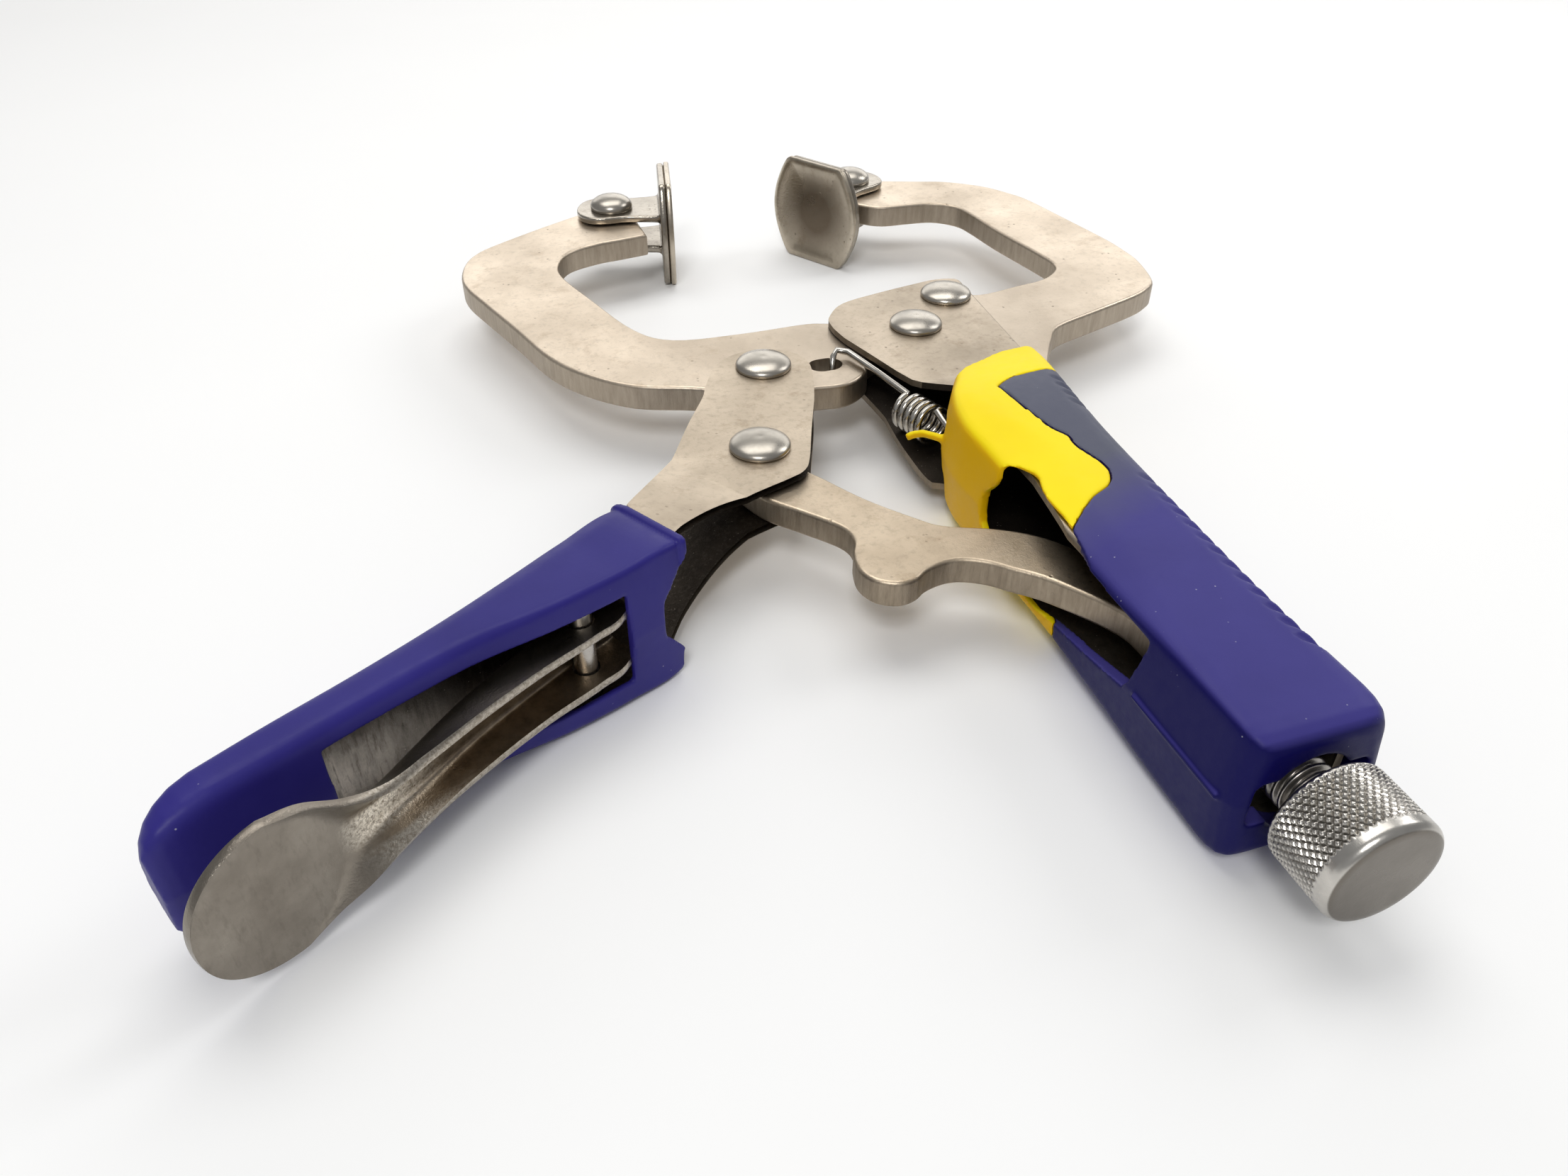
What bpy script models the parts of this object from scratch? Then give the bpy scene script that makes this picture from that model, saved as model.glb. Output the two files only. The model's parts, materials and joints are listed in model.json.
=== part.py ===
"""Locking C-clamp pliers with swivel pads, built flat in the XY plane with the fixed handle along +Y.

Plan positions are in millimetres from the main pivot; Z is measured from the tool's mid plane.
"""

import math

import bmesh
import bpy
from mathutils import Matrix, Vector

MM = 0.001

# Where the main pivot and the mid plane sit in the world, so that the tool rests on Z = 0.
PIVOT_X = 43.58
PIVOT_Y = -28.24
MID_Z = 14.9

# Pivots, in plan.
JAW_RIVET = (13.9, 13.1)
LEVER_PIVOT = (-40.9, -8.5)
LINK_PIVOT = (-52.2, -41.3)
RELEASE_PIVOT = (-97.1, -85.1)
FIXED_PAD_PIVOT = (20.8, 97.4)
MOVING_PAD_PIVOT = (-52.6, 98.2)
SCREW_X = -3.8
SPRING_ANCHOR = (-7.5, -54.0)

# Sheet, plates and clearances.
GAP = 0.35
SHEET = 1.5
JAW_HALF = 3.1
LINK_HALF = 2.8
NOSE_HALF = JAW_HALF + GAP + SHEET
SHANK_RADIUS = 3.4
HEAD_RADIUS = 6.3
HEAD_HEIGHT = 2.5
PAD_SHEET = 2.0
PAD_RADIUS = 15.5
PAD_CHORD = 14.9
PAD_REACH = 17.3

# Adjusting screw and knob.
SCREW_RADIUS = 4.3
SCREW_TIP_Y = -124.5
SCREW_END_Y = -153.5
KNOB_RADIUS = 9.6
KNOB_LENGTH = 13.2

# Spring.
WIRE_RADIUS = 0.75
COIL_RADIUS = 3.75
COIL_TURNS = 5

scene = bpy.context.scene
for obj in list(bpy.data.objects):
    bpy.data.objects.remove(obj, do_unlink=True)

assembly = bpy.data.collections.new("locking_pliers")
scene.collection.children.link(assembly)
helpers = bpy.data.collections.new("cutters")
scene.collection.children.link(helpers)
helpers.hide_render = True


def material(name, colour, metallic, roughness):
    mat = bpy.data.materials.new(name)
    mat.use_nodes = True
    shader = mat.node_tree.nodes["Principled BSDF"]
    shader.inputs["Base Color"].default_value = (*colour, 1.0)
    shader.inputs["Metallic"].default_value = metallic
    shader.inputs["Roughness"].default_value = roughness
    mat.diffuse_color = (*colour, 1.0)
    return mat


NICKEL = (0.60, 0.56, 0.50)
BRIGHT = (0.66, 0.64, 0.61)
YELLOW = (0.95, 0.66, 0.01)
BLUE = (0.030, 0.025, 0.260)


def world(point):
    """A plan point with its height, in world metres."""
    return Vector(((point[0] + PIVOT_X) * MM, (point[1] - PIVOT_Y) * MM, (point[2] + MID_Z) * MM))


def finish(mesh_data, name, origin, mat, cutter=False):
    """Links a mesh given in plan millimetres, with its own origin on the given plan point."""
    start = Vector((*origin, 0.0)) if len(origin) == 2 else Vector(origin)
    mesh = bpy.data.meshes.new(name)
    bmesh.ops.translate(mesh_data, verts=mesh_data.verts, vec=-start)
    bmesh.ops.scale(mesh_data, verts=mesh_data.verts, vec=(MM, MM, MM))
    bmesh.ops.recalc_face_normals(mesh_data, faces=mesh_data.faces)
    mesh_data.to_mesh(mesh)
    mesh_data.free()
    made = bpy.data.objects.new(name, mesh)
    made.location = world(start)
    if cutter:
        helpers.objects.link(made)
        made.hide_render = True
        made.display_type = "WIRE"
        made["cutter"] = True
    else:
        assembly.objects.link(made)
        mesh.materials.append(mat)
    bpy.context.view_layer.update()
    return made


def smooth(points, steps=2, corners=()):
    """A closed outline through the points, rounded by a Catmull-Rom curve except at the corners listed."""
    count = len(points)
    out = []
    for i in range(count):
        p0 = points[(i - 1) % count]
        p1 = points[i]
        p2 = points[(i + 1) % count]
        p3 = points[(i + 2) % count]
        if i in corners:
            p0 = p1
        if (i + 1) % count in corners:
            p3 = p2
        for k in range(steps):
            t = k / steps
            spot = []
            for a, b, c, d in zip(p0, p1, p2, p3):
                spot.append(0.5 * (2 * b + (c - a) * t + (2 * a - 5 * b + 4 * c - d) * t * t
                                   + (3 * b - a - 3 * c + d) * t ** 3))
            out.append(tuple(spot))
    return out


def inset(points, amount):
    """The outline moved inwards by the amount, for a bevelled edge."""
    count = len(points)
    area = sum(points[i][0] * points[(i + 1) % count][1] - points[(i + 1) % count][0] * points[i][1]
               for i in range(count))
    side = 1.0 if area > 0 else -1.0
    out = []
    for i in range(count):
        a = Vector(points[i - 1])
        b = Vector(points[i])
        c = Vector(points[(i + 1) % count])
        one = (b - a).normalized()
        two = (c - b).normalized()
        normal = Vector((-(one.y + two.y), one.x + two.x)).normalized() * side
        lean = max(0.5, abs(normal.dot(Vector((-one.y, one.x)))))
        spot = b + normal * (amount / lean)
        out.append((spot.x, spot.y))
    return out


def loft(rings):
    """A closed body through rings of the same number of points."""
    data = bmesh.new()
    layers = [[data.verts.new(point) for point in ring] for ring in rings]
    for low, high in zip(layers, layers[1:]):
        for i in range(len(low)):
            j = (i + 1) % len(low)
            data.faces.new((low[i], low[j], high[j], high[i]))
    data.faces.new(list(reversed(layers[0])))
    data.faces.new(layers[-1])
    return data


def mesh_of(made):
    """The finished mesh of a helper object, ready for more work, with the object itself thrown away."""
    assembly.objects.link(made)
    graph = bpy.context.evaluated_depsgraph_get()
    mesh = bpy.data.meshes.new_from_object(made.evaluated_get(graph))
    data = bmesh.new()
    data.from_mesh(mesh)
    bpy.data.meshes.remove(mesh)
    bpy.data.objects.remove(made, do_unlink=True)
    bmesh.ops.remove_doubles(data, verts=data.verts, dist=0.0005)
    return data


def curve_line(points, name, closed):
    """A curve object with one POLY spline through the points."""
    curve = bpy.data.curves.new(name, "CURVE")
    line = curve.splines.new("POLY")
    line.points.add(len(points) - 1)
    for spot, point in zip(line.points, points):
        spot.co = (point[0], point[1], point[2], 1.0)
    line.use_cyclic_u = closed
    return bpy.data.objects.new(name, curve)


def prism(points, low, high, bevel=0.0):
    """A flat outline extruded between two heights, with the edges of both faces eased by the bevel."""
    made = curve_line([(x, y, 0.0) for x, y in points], "outline", True)
    made.data.dimensions = "2D"
    made.data.fill_mode = "BOTH"
    made.data.extrude = (high - low) / 2
    data = mesh_of(made)
    bmesh.ops.translate(data, verts=data.verts, vec=(0.0, 0.0, (low + high) / 2))
    if bevel > 0:
        bmesh.ops.dissolve_limit(data, angle_limit=0.01, verts=data.verts, edges=data.edges)
        data.normal_update()
        rim = [edge for edge in data.edges
               if sum(abs(face.normal.z) > 0.9 for face in edge.link_faces) == 1]
        bmesh.ops.bevel(data, geom=rim, offset=bevel, segments=1, profile=0.5, affect="EDGES",
                        clamp_overlap=True)
    return data


def cylinder(centre, radius, low, high, steps=24):
    """A plain round bar or bore along Z."""
    data = bmesh.new()
    place = Matrix.Translation((centre[0], centre[1], (low + high) / 2))
    bmesh.ops.create_cone(data, cap_ends=True, segments=steps, radius1=radius, radius2=radius,
                          depth=high - low, matrix=place)
    return data


def turned(profile, steps=24):
    """A body of revolution: a profile of (radius, height) pairs from axis to axis, spun by a Screw modifier."""
    mesh = bpy.data.meshes.new("profile")
    mesh.from_pydata([(radius, 0.0, height) for radius, height in profile],
                     [(i, i + 1) for i in range(len(profile) - 1)], [])
    made = bpy.data.objects.new("profile", mesh)
    spin = made.modifiers.new("spin", "SCREW")
    spin.axis = "Z"
    spin.steps = steps
    spin.render_steps = steps
    spin.use_smooth_shade = True
    spin.use_merge_vertices = True
    spin.merge_threshold = 0.0001
    data = mesh_of(made)
    bpy.data.meshes.remove(mesh)
    return data


def boolean(target, cutter, operation="DIFFERENCE"):
    """Applies a Boolean to the mesh at once, so that later ones cut clean faces."""
    modifier = target.modifiers.new("cut", "BOOLEAN")
    modifier.operation = operation
    modifier.solver = "EXACT"
    modifier.object = cutter
    graph = bpy.context.evaluated_depsgraph_get()
    done = bpy.data.meshes.new_from_object(target.evaluated_get(graph))
    target.modifiers.clear()
    old = target.data
    target.data = done
    done.name = target.name
    bpy.data.meshes.remove(old)
    tidy = bmesh.new()
    tidy.from_mesh(done)
    bmesh.ops.remove_doubles(tidy, verts=tidy.verts, dist=0.000002)
    bmesh.ops.dissolve_degenerate(tidy, edges=tidy.edges, dist=0.000002)
    tidy.to_mesh(done)
    tidy.free()
    bpy.context.view_layer.update()


def cut(target, data, operation="DIFFERENCE"):
    tool = finish(data, target.name + "_tool", (0.0, 0.0), None, cutter=True)
    boolean(target, tool, operation)
    return tool


def drill(target, centre, radius, steps=24):
    """A round hole right through in Z."""
    cut(target, cylinder(centre, radius, -20.0, 20.0, steps))


def rounded_section(low, high, half, radius, steps=3):
    """A rounded rectangle: (across, up) pairs from low to high and -half to half."""
    corners = ((high, half, 0), (low, half, 90), (low, -half, 180), (high, -half, 270))
    out = []
    for across, up, start in corners:
        mid_a = across - math.copysign(radius, across - (low + high) / 2)
        mid_u = up - math.copysign(radius, up)
        for k in range(steps + 1):
            angle = math.radians(start + 90 * k / steps)
            out.append((mid_a + radius * math.cos(angle), mid_u + radius * math.sin(angle)))
    return out


def along_y(stations, radius, grow=0.0, steps=3):
    """Rounded sections at (y, low x, high x, half height), lofted along Y."""
    rings = []
    for y, low, high, half in stations:
        section = rounded_section(low - grow, high + grow, half + grow, radius, steps)
        rings.append([(x, y, z) for x, z in section])
    return loft(rings)


LEVER_START = Vector((-82.0, -60.0))
LEVER_ANGLE = math.radians(210.0)
LEVER_ALONG = Vector((math.cos(LEVER_ANGLE), math.sin(LEVER_ANGLE)))
LEVER_ACROSS = Vector((-LEVER_ALONG.y, LEVER_ALONG.x))


def lever_plan(along, across):
    """A plan point from a distance along the lever handle and one across it, towards the other handle."""
    spot = LEVER_START + LEVER_ALONG * along + LEVER_ACROSS * across
    return (spot.x, spot.y)


def along_lever(stations, radius, grow=0.0, steps=3):
    """Rounded sections at (along, outer, inner, half height), lofted along the lever handle."""
    rings = []
    for along, low, high, half in stations:
        section = rounded_section(low - grow, high + grow, half + grow, radius, steps)
        rings.append([(*lever_plan(along, across), up) for across, up in section])
    return loft(rings)


# ---------------------------------------------------------------- fixed handle, a folded channel

NOSE = [(-19.1, 7.0), (-17.7, 11.1), (-12.3, 16.7), (-1.8, 19.7), (10.0, 22.0), (15.5, 22.7), (20.6, 21.2),
        (21.7, 16.0), (20.4, 8.0), (19.4, -9.0), (18.5, -19.0), (24.0, -30.0), (24.0, -160.0),
        (-24.0, -160.0), (-24.0, -57.0), (-13.4, -57.0), (-11.4, -47.6), (-15.2, -45.6), (-16.4, -41.0),
        (-17.6, -32.0), (-17.8, -22.0), (-18.4, -11.2), (-19.0, -1.0)]
UPPER_EDGE = [(-40.0, 4.0), (-19.2, 4.0), (-18.6, -1.0), (-15.8, -11.2), (-13.4, -20.3), (-10.8, -28.0),
              (-5.6, -35.0), (-4.8, -38.0), (-9.0, -43.0), (-11.6, -50.0), (-10.6, -62.0), (-10.6, -77.0),
              (-11.7, -85.0), (-12.7, -91.6), (-13.9, -98.0), (-40.0, -98.0)]
CHANNEL = [(30.0, -30.0, 22.4, NOSE_HALF), (-25.0, -30.0, 18.4, NOSE_HALF), (-31.0, -22.0, 16.5, 6.4),
           (-44.0, -18.0, 12.8, 10.0), (-56.0, -14.0, 10.4, 10.7), (-98.0, -13.2, 7.0, 10.8),
           (-124.0, -13.6, 5.4, 10.8), (-147.0, -13.6, 4.8, 10.6)]


def channel_inside(stations, front_wall):
    """The hollow of the channel: open on the left all along, and on the right ahead of the web."""
    out = []
    for y, low, high, half in stations:
        right = high + 8.0 if y > front_wall else high - SHEET
        out.append((y + (3.0 if y == stations[0][0] else 0.0), low - 30.0, right, half - SHEET))
    last = out[-1]
    out[-1] = (last[0] - 3.0, *last[1:])
    return out


fixed_handle = finish(along_y(CHANNEL, 1.2, steps=2), "fixed_handle", (0.0, 0.0),
                      material("handle_nickel", NICKEL, 0.9, 0.42))
cut(fixed_handle, along_y(channel_inside(CHANNEL, -26.0), 0.4, steps=1))
cut(fixed_handle, prism(smooth(NOSE, 2, corners=(10, 11, 12, 13, 14, 15, 16, 17)), -20.0, 20.0), "INTERSECT")
cut(fixed_handle, prism(UPPER_EDGE, 0.0, 20.0))
for spot in ((0.0, 0.0), JAW_RIVET):
    drill(fixed_handle, spot, SHANK_RADIUS + GAP)

# ---------------------------------------------------------------- the two jaws

FIXED_JAW = [(24.4, 79.4), (19.0, 83.4), (15.4, 89.4), (13.6, 97.0), (16.0, 103.2), (21.8, 105.4),
             (28.2, 102.4), (42.2, 97.1), (50.0, 94.3), (56.7, 89.7), (61.7, 84.7), (65.6, 78.0),
             (68.3, 71.3), (71.1, 55.8), (74.2, 36.9), (74.8, 28.0), (74.4, 20.2), (71.1, 8.6),
             (66.7, 4.1), (60.0, 0.8), (46.7, -3.7), (34.4, -8.1), (29.4, -13.7), (25.0, -20.3),
             (19.5, -29.5), (15.6, -36.0), (11.3, -36.0), (11.0, -26.0), (10.9, -14.0), (10.6, -4.0),
             (6.5, 9.6), (6.4, 14.5), (9.6, 18.9), (15.5, 19.4), (23.9, 14.9), (35.6, 16.6), (43.0, 17.9),
             (48.4, 20.9), (51.7, 25.5), (51.1, 33.6), (48.0, 52.4), (46.6, 66.0), (45.0, 72.5), (39.8, 77.4),
             (32.2, 78.6)]
MOVING_JAW = [(-46.5, 80.8), (-46.8, 104.6), (-54.5, 105.6), (-63.0, 101.6), (-75.0, 95.0), (-88.0, 87.0),
              (-93.5, 82.6), (-97.2, 76.6), (-99.2, 68.0), (-98.8, 60.0), (-96.0, 50.0), (-90.5, 32.0),
              (-85.5, 15.0), (-79.0, 4.0), (-70.0, -4.6), (-58.0, -9.6), (-49.5, -14.5), (-42.5, -19.6),
              (-33.0, -18.4), (-25.0, -19.0), (-18.6, -15.0), (-15.6, -8.6), (-8.2, -5.2), (-3.4, -9.0),
              (3.2, -9.1), (7.6, -5.6), (8.9, 0.0), (7.0, 4.6), (1.2, 8.9), (-6.0, 9.6), (-17.0, 11.3),
              (-23.5, 13.0), (-40.0, 13.0), (-55.8, 14.9), (-63.5, 23.5), (-69.7, 43.5), (-74.0, 59.5),
              (-73.6, 68.0), (-69.5, 75.0), (-61.3, 78.5), (-54.7, 79.5)]

jaw_nickel = material("jaw_nickel", NICKEL, 0.85, 0.48)
JAW_OUTLINE = smooth(FIXED_JAW, 2, corners=(26, 27, 28))
fixed_jaw = finish(prism(JAW_OUTLINE, -JAW_HALF, JAW_HALF, 0.5), "fixed_jaw", (0.0, 0.0), jaw_nickel)
for spot in (JAW_RIVET, FIXED_PAD_PIVOT):
    drill(fixed_jaw, spot, SHANK_RADIUS + GAP)
cut(fixed_handle, prism(inset(JAW_OUTLINE, -GAP), -JAW_HALF - GAP, JAW_HALF + GAP))
moving_jaw = finish(prism(smooth(MOVING_JAW, 2, corners=(0, 1)), -JAW_HALF, JAW_HALF, 0.5), "moving_jaw",
                    (0.0, 0.0), material("moving_jaw_nickel", NICKEL, 0.85, 0.48))
for spot in ((0.0, 0.0), LEVER_PIVOT, MOVING_PAD_PIVOT):
    drill(moving_jaw, spot, SHANK_RADIUS + GAP)
SLOT = [(-26.2 + 3.2 * math.cos(a) + (1.0 if math.cos(a) > 0 else -1.0) * 0.8, -8.9 + 3.0 * math.sin(a))
        for a in [math.radians(15 + 30 * k) for k in range(12)]]
cut(moving_jaw, prism(SLOT, -9.0, 9.0))

# ---------------------------------------------------------------- lever handle, a second channel

LEVER_NOSE = [(-55.8, -13.5), (-51.5, -5.6), (-46.4, -1.3), (-40.0, -0.2), (-34.0, -2.6), (-31.1, -7.2),
              (-31.0, -12.8), (-34.5, -24.4), (-40.0, -38.0), (-44.2, -48.6), (-46.6, -52.4), (-50.4, -54.3),
              (-60.0, -57.8), (-68.0, -62.6), (-76.0, -70.0), (-80.5, -76.5), (-60.0, -112.0),
              (-160.0, -150.0), (-190.0, -90.0), (-98.0, -64.0), (-84.0, -61.5), (-78.4, -53.0),
              (-70.5, -40.8), (-63.6, -28.0), (-57.7, -18.0)]
LEVER = [(-72.0, -38.0, 34.0, NOSE_HALF), (-20.0, -38.0, 40.0, NOSE_HALF), (-10.0, -30.0, 30.0, 7.4),
         (-1.0, 3.0, 22.0, 9.6), (6.0, 3.2, 17.4, 10.8), (18.0, 3.6, 17.4, 11.4), (30.0, 4.8, 15.8, 11.4),
         (46.0, 5.8, 11.8, 11.2), (74.0, 6.0, 10.8, 10.6), (87.0, 6.6, 10.4, 9.8)]


def lever_section(stations, inside):
    """The lever's stations, or the hollow inside them, which is open towards the other handle."""
    out = []
    for along, low, high, half in stations:
        if inside:
            wall = low - 10.0 if along < -5.0 else low + SHEET
            out.append((along, wall, high + 30.0, half - SHEET))
        else:
            out.append((along, low, high, half))
    return out


lever_handle = finish(along_lever(lever_section(LEVER, False), 1.2, steps=2), "lever_handle", LEVER_PIVOT,
                      material("lever_nickel", NICKEL, 0.9, 0.42))
hollow = lever_section(LEVER, True)
hollow[0] = (hollow[0][0] - 4.0, *hollow[0][1:])
hollow[-1] = (hollow[-1][0] + 3.0, *hollow[-1][1:])
cut(lever_handle, along_lever(hollow, 0.4, steps=1))
cut(lever_handle, prism(smooth(LEVER_NOSE, 2, corners=(15, 16, 17, 18, 19, 20)), -20.0, 20.0), "INTERSECT")
for spot in (LEVER_PIVOT, LINK_PIVOT):
    drill(lever_handle, spot, SHANK_RADIUS + GAP)
drill(lever_handle, RELEASE_PIVOT, 2.0 + GAP, 16)

# ---------------------------------------------------------------- toggle link

LINK = [(-45.2, -48.0), (-42.5, -53.4), (-37.5, -62.5), (-31.0, -71.3), (-27.2, -75.2), (-17.8, -79.6),
        (-11.0, -85.0), (-5.4, -94.0), (-1.4, -104.0), (-0.2, -112.5), (-1.2, -117.6), (-4.6, -120.0),
        (-8.2, -117.4), (-9.4, -108.6), (-16.4, -97.0), (-21.4, -91.8), (-24.6, -88.6), (-28.5, -86.4),
        (-32.0, -86.0), (-35.7, -87.0), (-38.6, -88.8), (-42.0, -89.2), (-45.6, -87.0), (-47.2, -83.0),
        (-46.4, -78.2), (-44.8, -74.3), (-45.6, -69.6), (-50.7, -62.9), (-56.2, -56.0), (-59.2, -48.0),
        (-60.0, -40.5), (-57.4, -34.8), (-52.0, -32.6), (-46.6, -35.2), (-44.4, -41.0)]
toggle_link = finish(prism(smooth(LINK, 2), -LINK_HALF, LINK_HALF, 0.4), "toggle_link", LINK_PIVOT,
                     material("link_nickel", NICKEL, 0.85, 0.5))
drill(toggle_link, LINK_PIVOT, SHANK_RADIUS + GAP)

# ---------------------------------------------------------------- rivets


def rivet(name, centre, half, head_height, head_radius=HEAD_RADIUS, shank=SHANK_RADIUS):
    """A domed rivet through plates whose outer faces are at plus and minus the half height."""
    seat = half + 0.05
    top = [(0.0, seat + head_height), (head_radius * 0.25, seat + head_height),
           (head_radius * 0.6, seat + head_height * 0.9), (head_radius * 0.88, seat + head_height * 0.62),
           (head_radius * 0.985, seat + head_height * 0.28), (head_radius, seat), (shank, seat)]
    profile = top + [(r, -z) for r, z in reversed(top)]
    data = turned(profile)
    bmesh.ops.translate(data, verts=data.verts, vec=(*centre, 0.0))
    return finish(data, name, centre, material(name + "_steel", BRIGHT, 1.0, 0.22))


rivet("main_pivot_rivet", (0.0, 0.0), NOSE_HALF, HEAD_HEIGHT)
rivet("fixed_jaw_rivet", JAW_RIVET, NOSE_HALF, HEAD_HEIGHT)
rivet("lever_rivet", LEVER_PIVOT, NOSE_HALF, HEAD_HEIGHT)
rivet("link_rivet", LINK_PIVOT, NOSE_HALF, HEAD_HEIGHT)

# ---------------------------------------------------------------- release lever and its pin

# x, y, half width at the flanges' tips, flange depth, half width of the web
RELEASE_PATH = [(-94.2, -79.0, 5.9, 7.6, 5.9), (-99.7, -82.4, 5.9, 8.2, 5.9), (-109.2, -89.0, 5.9, 7.4, 5.9),
                (-118.8, -96.6, 6.0, 6.4, 5.8), (-126.6, -103.9, 6.2, 5.2, 5.4), (-132.9, -109.9, 6.9, 4.2, 5.0),
                (-137.2, -113.6, 9.0, 3.2, 6.4), (-140.6, -116.4, 11.2, 2.0, 10.4),
                (-145.0, -119.8, 12.6, 1.5, 12.5), (-149.5, -122.9, 12.2, 1.5, 12.1),
                (-153.4, -125.6, 9.6, 1.5, 9.5), (-155.6, -127.1, 5.0, 1.5, 4.9), (-156.0, -127.4, 1.6, 1.5, 1.5)]
RELEASE_SHEET = 1.3


def release_rings():
    """A channel that opens away from the lever and flattens into a broad thumb paddle."""
    rings = []
    for i, (x, y, half, depth, web) in enumerate(RELEASE_PATH):
        a = Vector(RELEASE_PATH[max(i - 1, 0)][:2])
        b = Vector(RELEASE_PATH[min(i + 1, len(RELEASE_PATH) - 1)][:2])
        ahead = (b - a).normalized()
        out = Vector((-ahead.y, ahead.x))
        floor = min(RELEASE_SHEET, depth - 0.05)
        inner = max(half - RELEASE_SHEET, 0.3)
        trough = max(web - RELEASE_SHEET, 0.3)
        section = [(0.0, -web), (0.0, web), (depth, half), (depth, inner), (floor, trough), (floor, -trough),
                   (depth, -inner), (depth, -half)]
        rings.append([(x + out.x * d, y + out.y * d, z) for d, z in section])
    return rings


release = finish(loft(release_rings()), "release_lever", RELEASE_PIVOT,
                 material("release_nickel", NICKEL, 0.9, 0.4))
drill(release, RELEASE_PIVOT, 2.0 + GAP, 16)
pin = cylinder(RELEASE_PIVOT, 2.0, -11.2, 11.2, 16)
finish(pin, "release_pin", RELEASE_PIVOT, material("pin_steel", BRIGHT, 1.0, 0.3))

# ---------------------------------------------------------------- adjusting screw, knob and nut

TO_SCREW = Matrix.Rotation(math.radians(90.0), 3, "X")


def on_screw(data, front_y):
    """Turns a body from the Z axis to the screw's, its Z running back from the given Y."""
    bmesh.ops.rotate(data, verts=data.verts, cent=(0, 0, 0), matrix=TO_SCREW)
    bmesh.ops.translate(data, verts=data.verts, vec=(SCREW_X, front_y, 0.0))
    return data


def threaded(radius, depth, pitch, length, tip):
    """A profile with a shallow groove for each turn of the thread."""
    out = [(0.0, 0.0), (2.6, 0.0), (radius - depth, tip)]
    z = tip + 0.6
    while z + pitch < length:
        out.append((radius - depth, z))
        out.append((radius, z + pitch * 0.35))
        out.append((radius, z + pitch * 0.55))
        z += pitch
    out.append((radius - depth, z))
    out.append((radius - depth, length))
    out.append((0.0, length))
    return out


screw_length = SCREW_TIP_Y - SCREW_END_Y + KNOB_LENGTH * 0.5
screw = finish(on_screw(turned(threaded(SCREW_RADIUS, 0.55, 1.5, screw_length, 2.0), 20), SCREW_TIP_Y),
               "adjusting_screw", (SCREW_X, SCREW_TIP_Y, 0.0), material("screw_steel", BRIGHT, 0.95, 0.35))

knob_start = SCREW_END_Y
knob_profile = [(KNOB_RADIUS - 1.3, 0.0), (KNOB_RADIUS - 0.2, 0.7), (KNOB_RADIUS, 1.4), (KNOB_RADIUS, KNOB_LENGTH - 2.6),
                (KNOB_RADIUS - 0.4, KNOB_LENGTH - 1.0), (KNOB_RADIUS - 1.3, KNOB_LENGTH), (0.0, KNOB_LENGTH)]
knob = finish(on_screw(turned([(0.0, 0.0)] + knob_profile, 48), knob_start), "knurled_knob",
              (SCREW_X, knob_start, 0.0), material("knob_steel", BRIGHT, 0.95, 0.4))
SOCKET = KNOB_LENGTH * 0.5 + 0.4
cut(knob, on_screw(cylinder((0.0, 0.0), SCREW_RADIUS + GAP, -2.0, SOCKET), knob_start))

NUT = [(-12.6, -135.0), (-12.6, -144.6), (2.6, -144.6), (2.9, -135.0)]
nut = finish(prism(NUT, -8.6, 8.6, 0.4), "screw_nut", (SCREW_X, -140.0, 0.0),
             material("nut_steel", NICKEL, 0.9, 0.5))
cut(nut, on_screw(cylinder((0.0, 0.0), SCREW_RADIUS + GAP, 0.0, 40.0), -120.0))

# ---------------------------------------------------------------- swivel pads


def pad(prefix, pivot, facing):
    """A clamping pad: a round pressed face, its hemmed backing with two ears, and the rivet they swing on."""
    turn = Matrix.Rotation(facing, 3, "Z")

    def place(data):
        bmesh.ops.rotate(data, verts=data.verts, cent=(0, 0, 0), matrix=turn)
        bmesh.ops.translate(data, verts=data.verts, vec=(*pivot, 0.0))
        return data

    outline = []
    for share, width in ((-1.0, 0.6), (-0.93, 0.69), (-0.7, 0.82), (-0.36, 0.95), (0.0, 1.0), (0.36, 0.95),
                         (0.7, 0.82), (0.93, 0.69), (1.0, 0.6)):
        outline.append((PAD_RADIUS * width, PAD_CHORD * share))
    outline += [(-x, y) for x, y in reversed(outline)]
    upright = Matrix(((0.0, 0.0, 1.0), (1.0, 0.0, 0.0), (0.0, 1.0, 0.0)))

    def disc(near, far, shrink):
        data = prism([(x * shrink, y * shrink) for x, y in outline], near, far, 0.35)
        bmesh.ops.transform(data, matrix=upright.to_4x4(), verts=data.verts)
        return data

    nickel = material(prefix + "_pad_nickel", NICKEL, 0.92, 0.32)
    face = finish(place(disc(PAD_REACH - 1.6, PAD_REACH, 1.0)), prefix + "_pad_face", pivot, nickel)
    back = finish(place(disc(PAD_REACH - 3.6, PAD_REACH - 1.65, 0.985)), prefix + "_pad_bracket", pivot,
                  material(prefix + "_bracket_nickel", NICKEL, 0.92, 0.3))
    low = JAW_HALF + GAP
    for side in (1.0, -1.0):
        ear = [(-4.0, -8.4), (4.0, -7.6), (11.0, -8.2), (15.2, -9.0), (15.2, 9.0), (11.0, 8.2), (4.0, 7.6),
               (-4.0, 8.4), (-8.4, 5.6), (-10.0, 0.0), (-8.4, -5.6)]
        heights = sorted((side * low, side * (low + PAD_SHEET)))
        cut(back, place(prism(smooth(ear, 2, corners=(3, 4)), heights[0], heights[1], 0.3)), "UNION")
    drill(back, pivot, SHANK_RADIUS + GAP)
    rivet(prefix + "_pad_rivet", pivot, low + PAD_SHEET, 3.6, 6.0)
    return face, back


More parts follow.
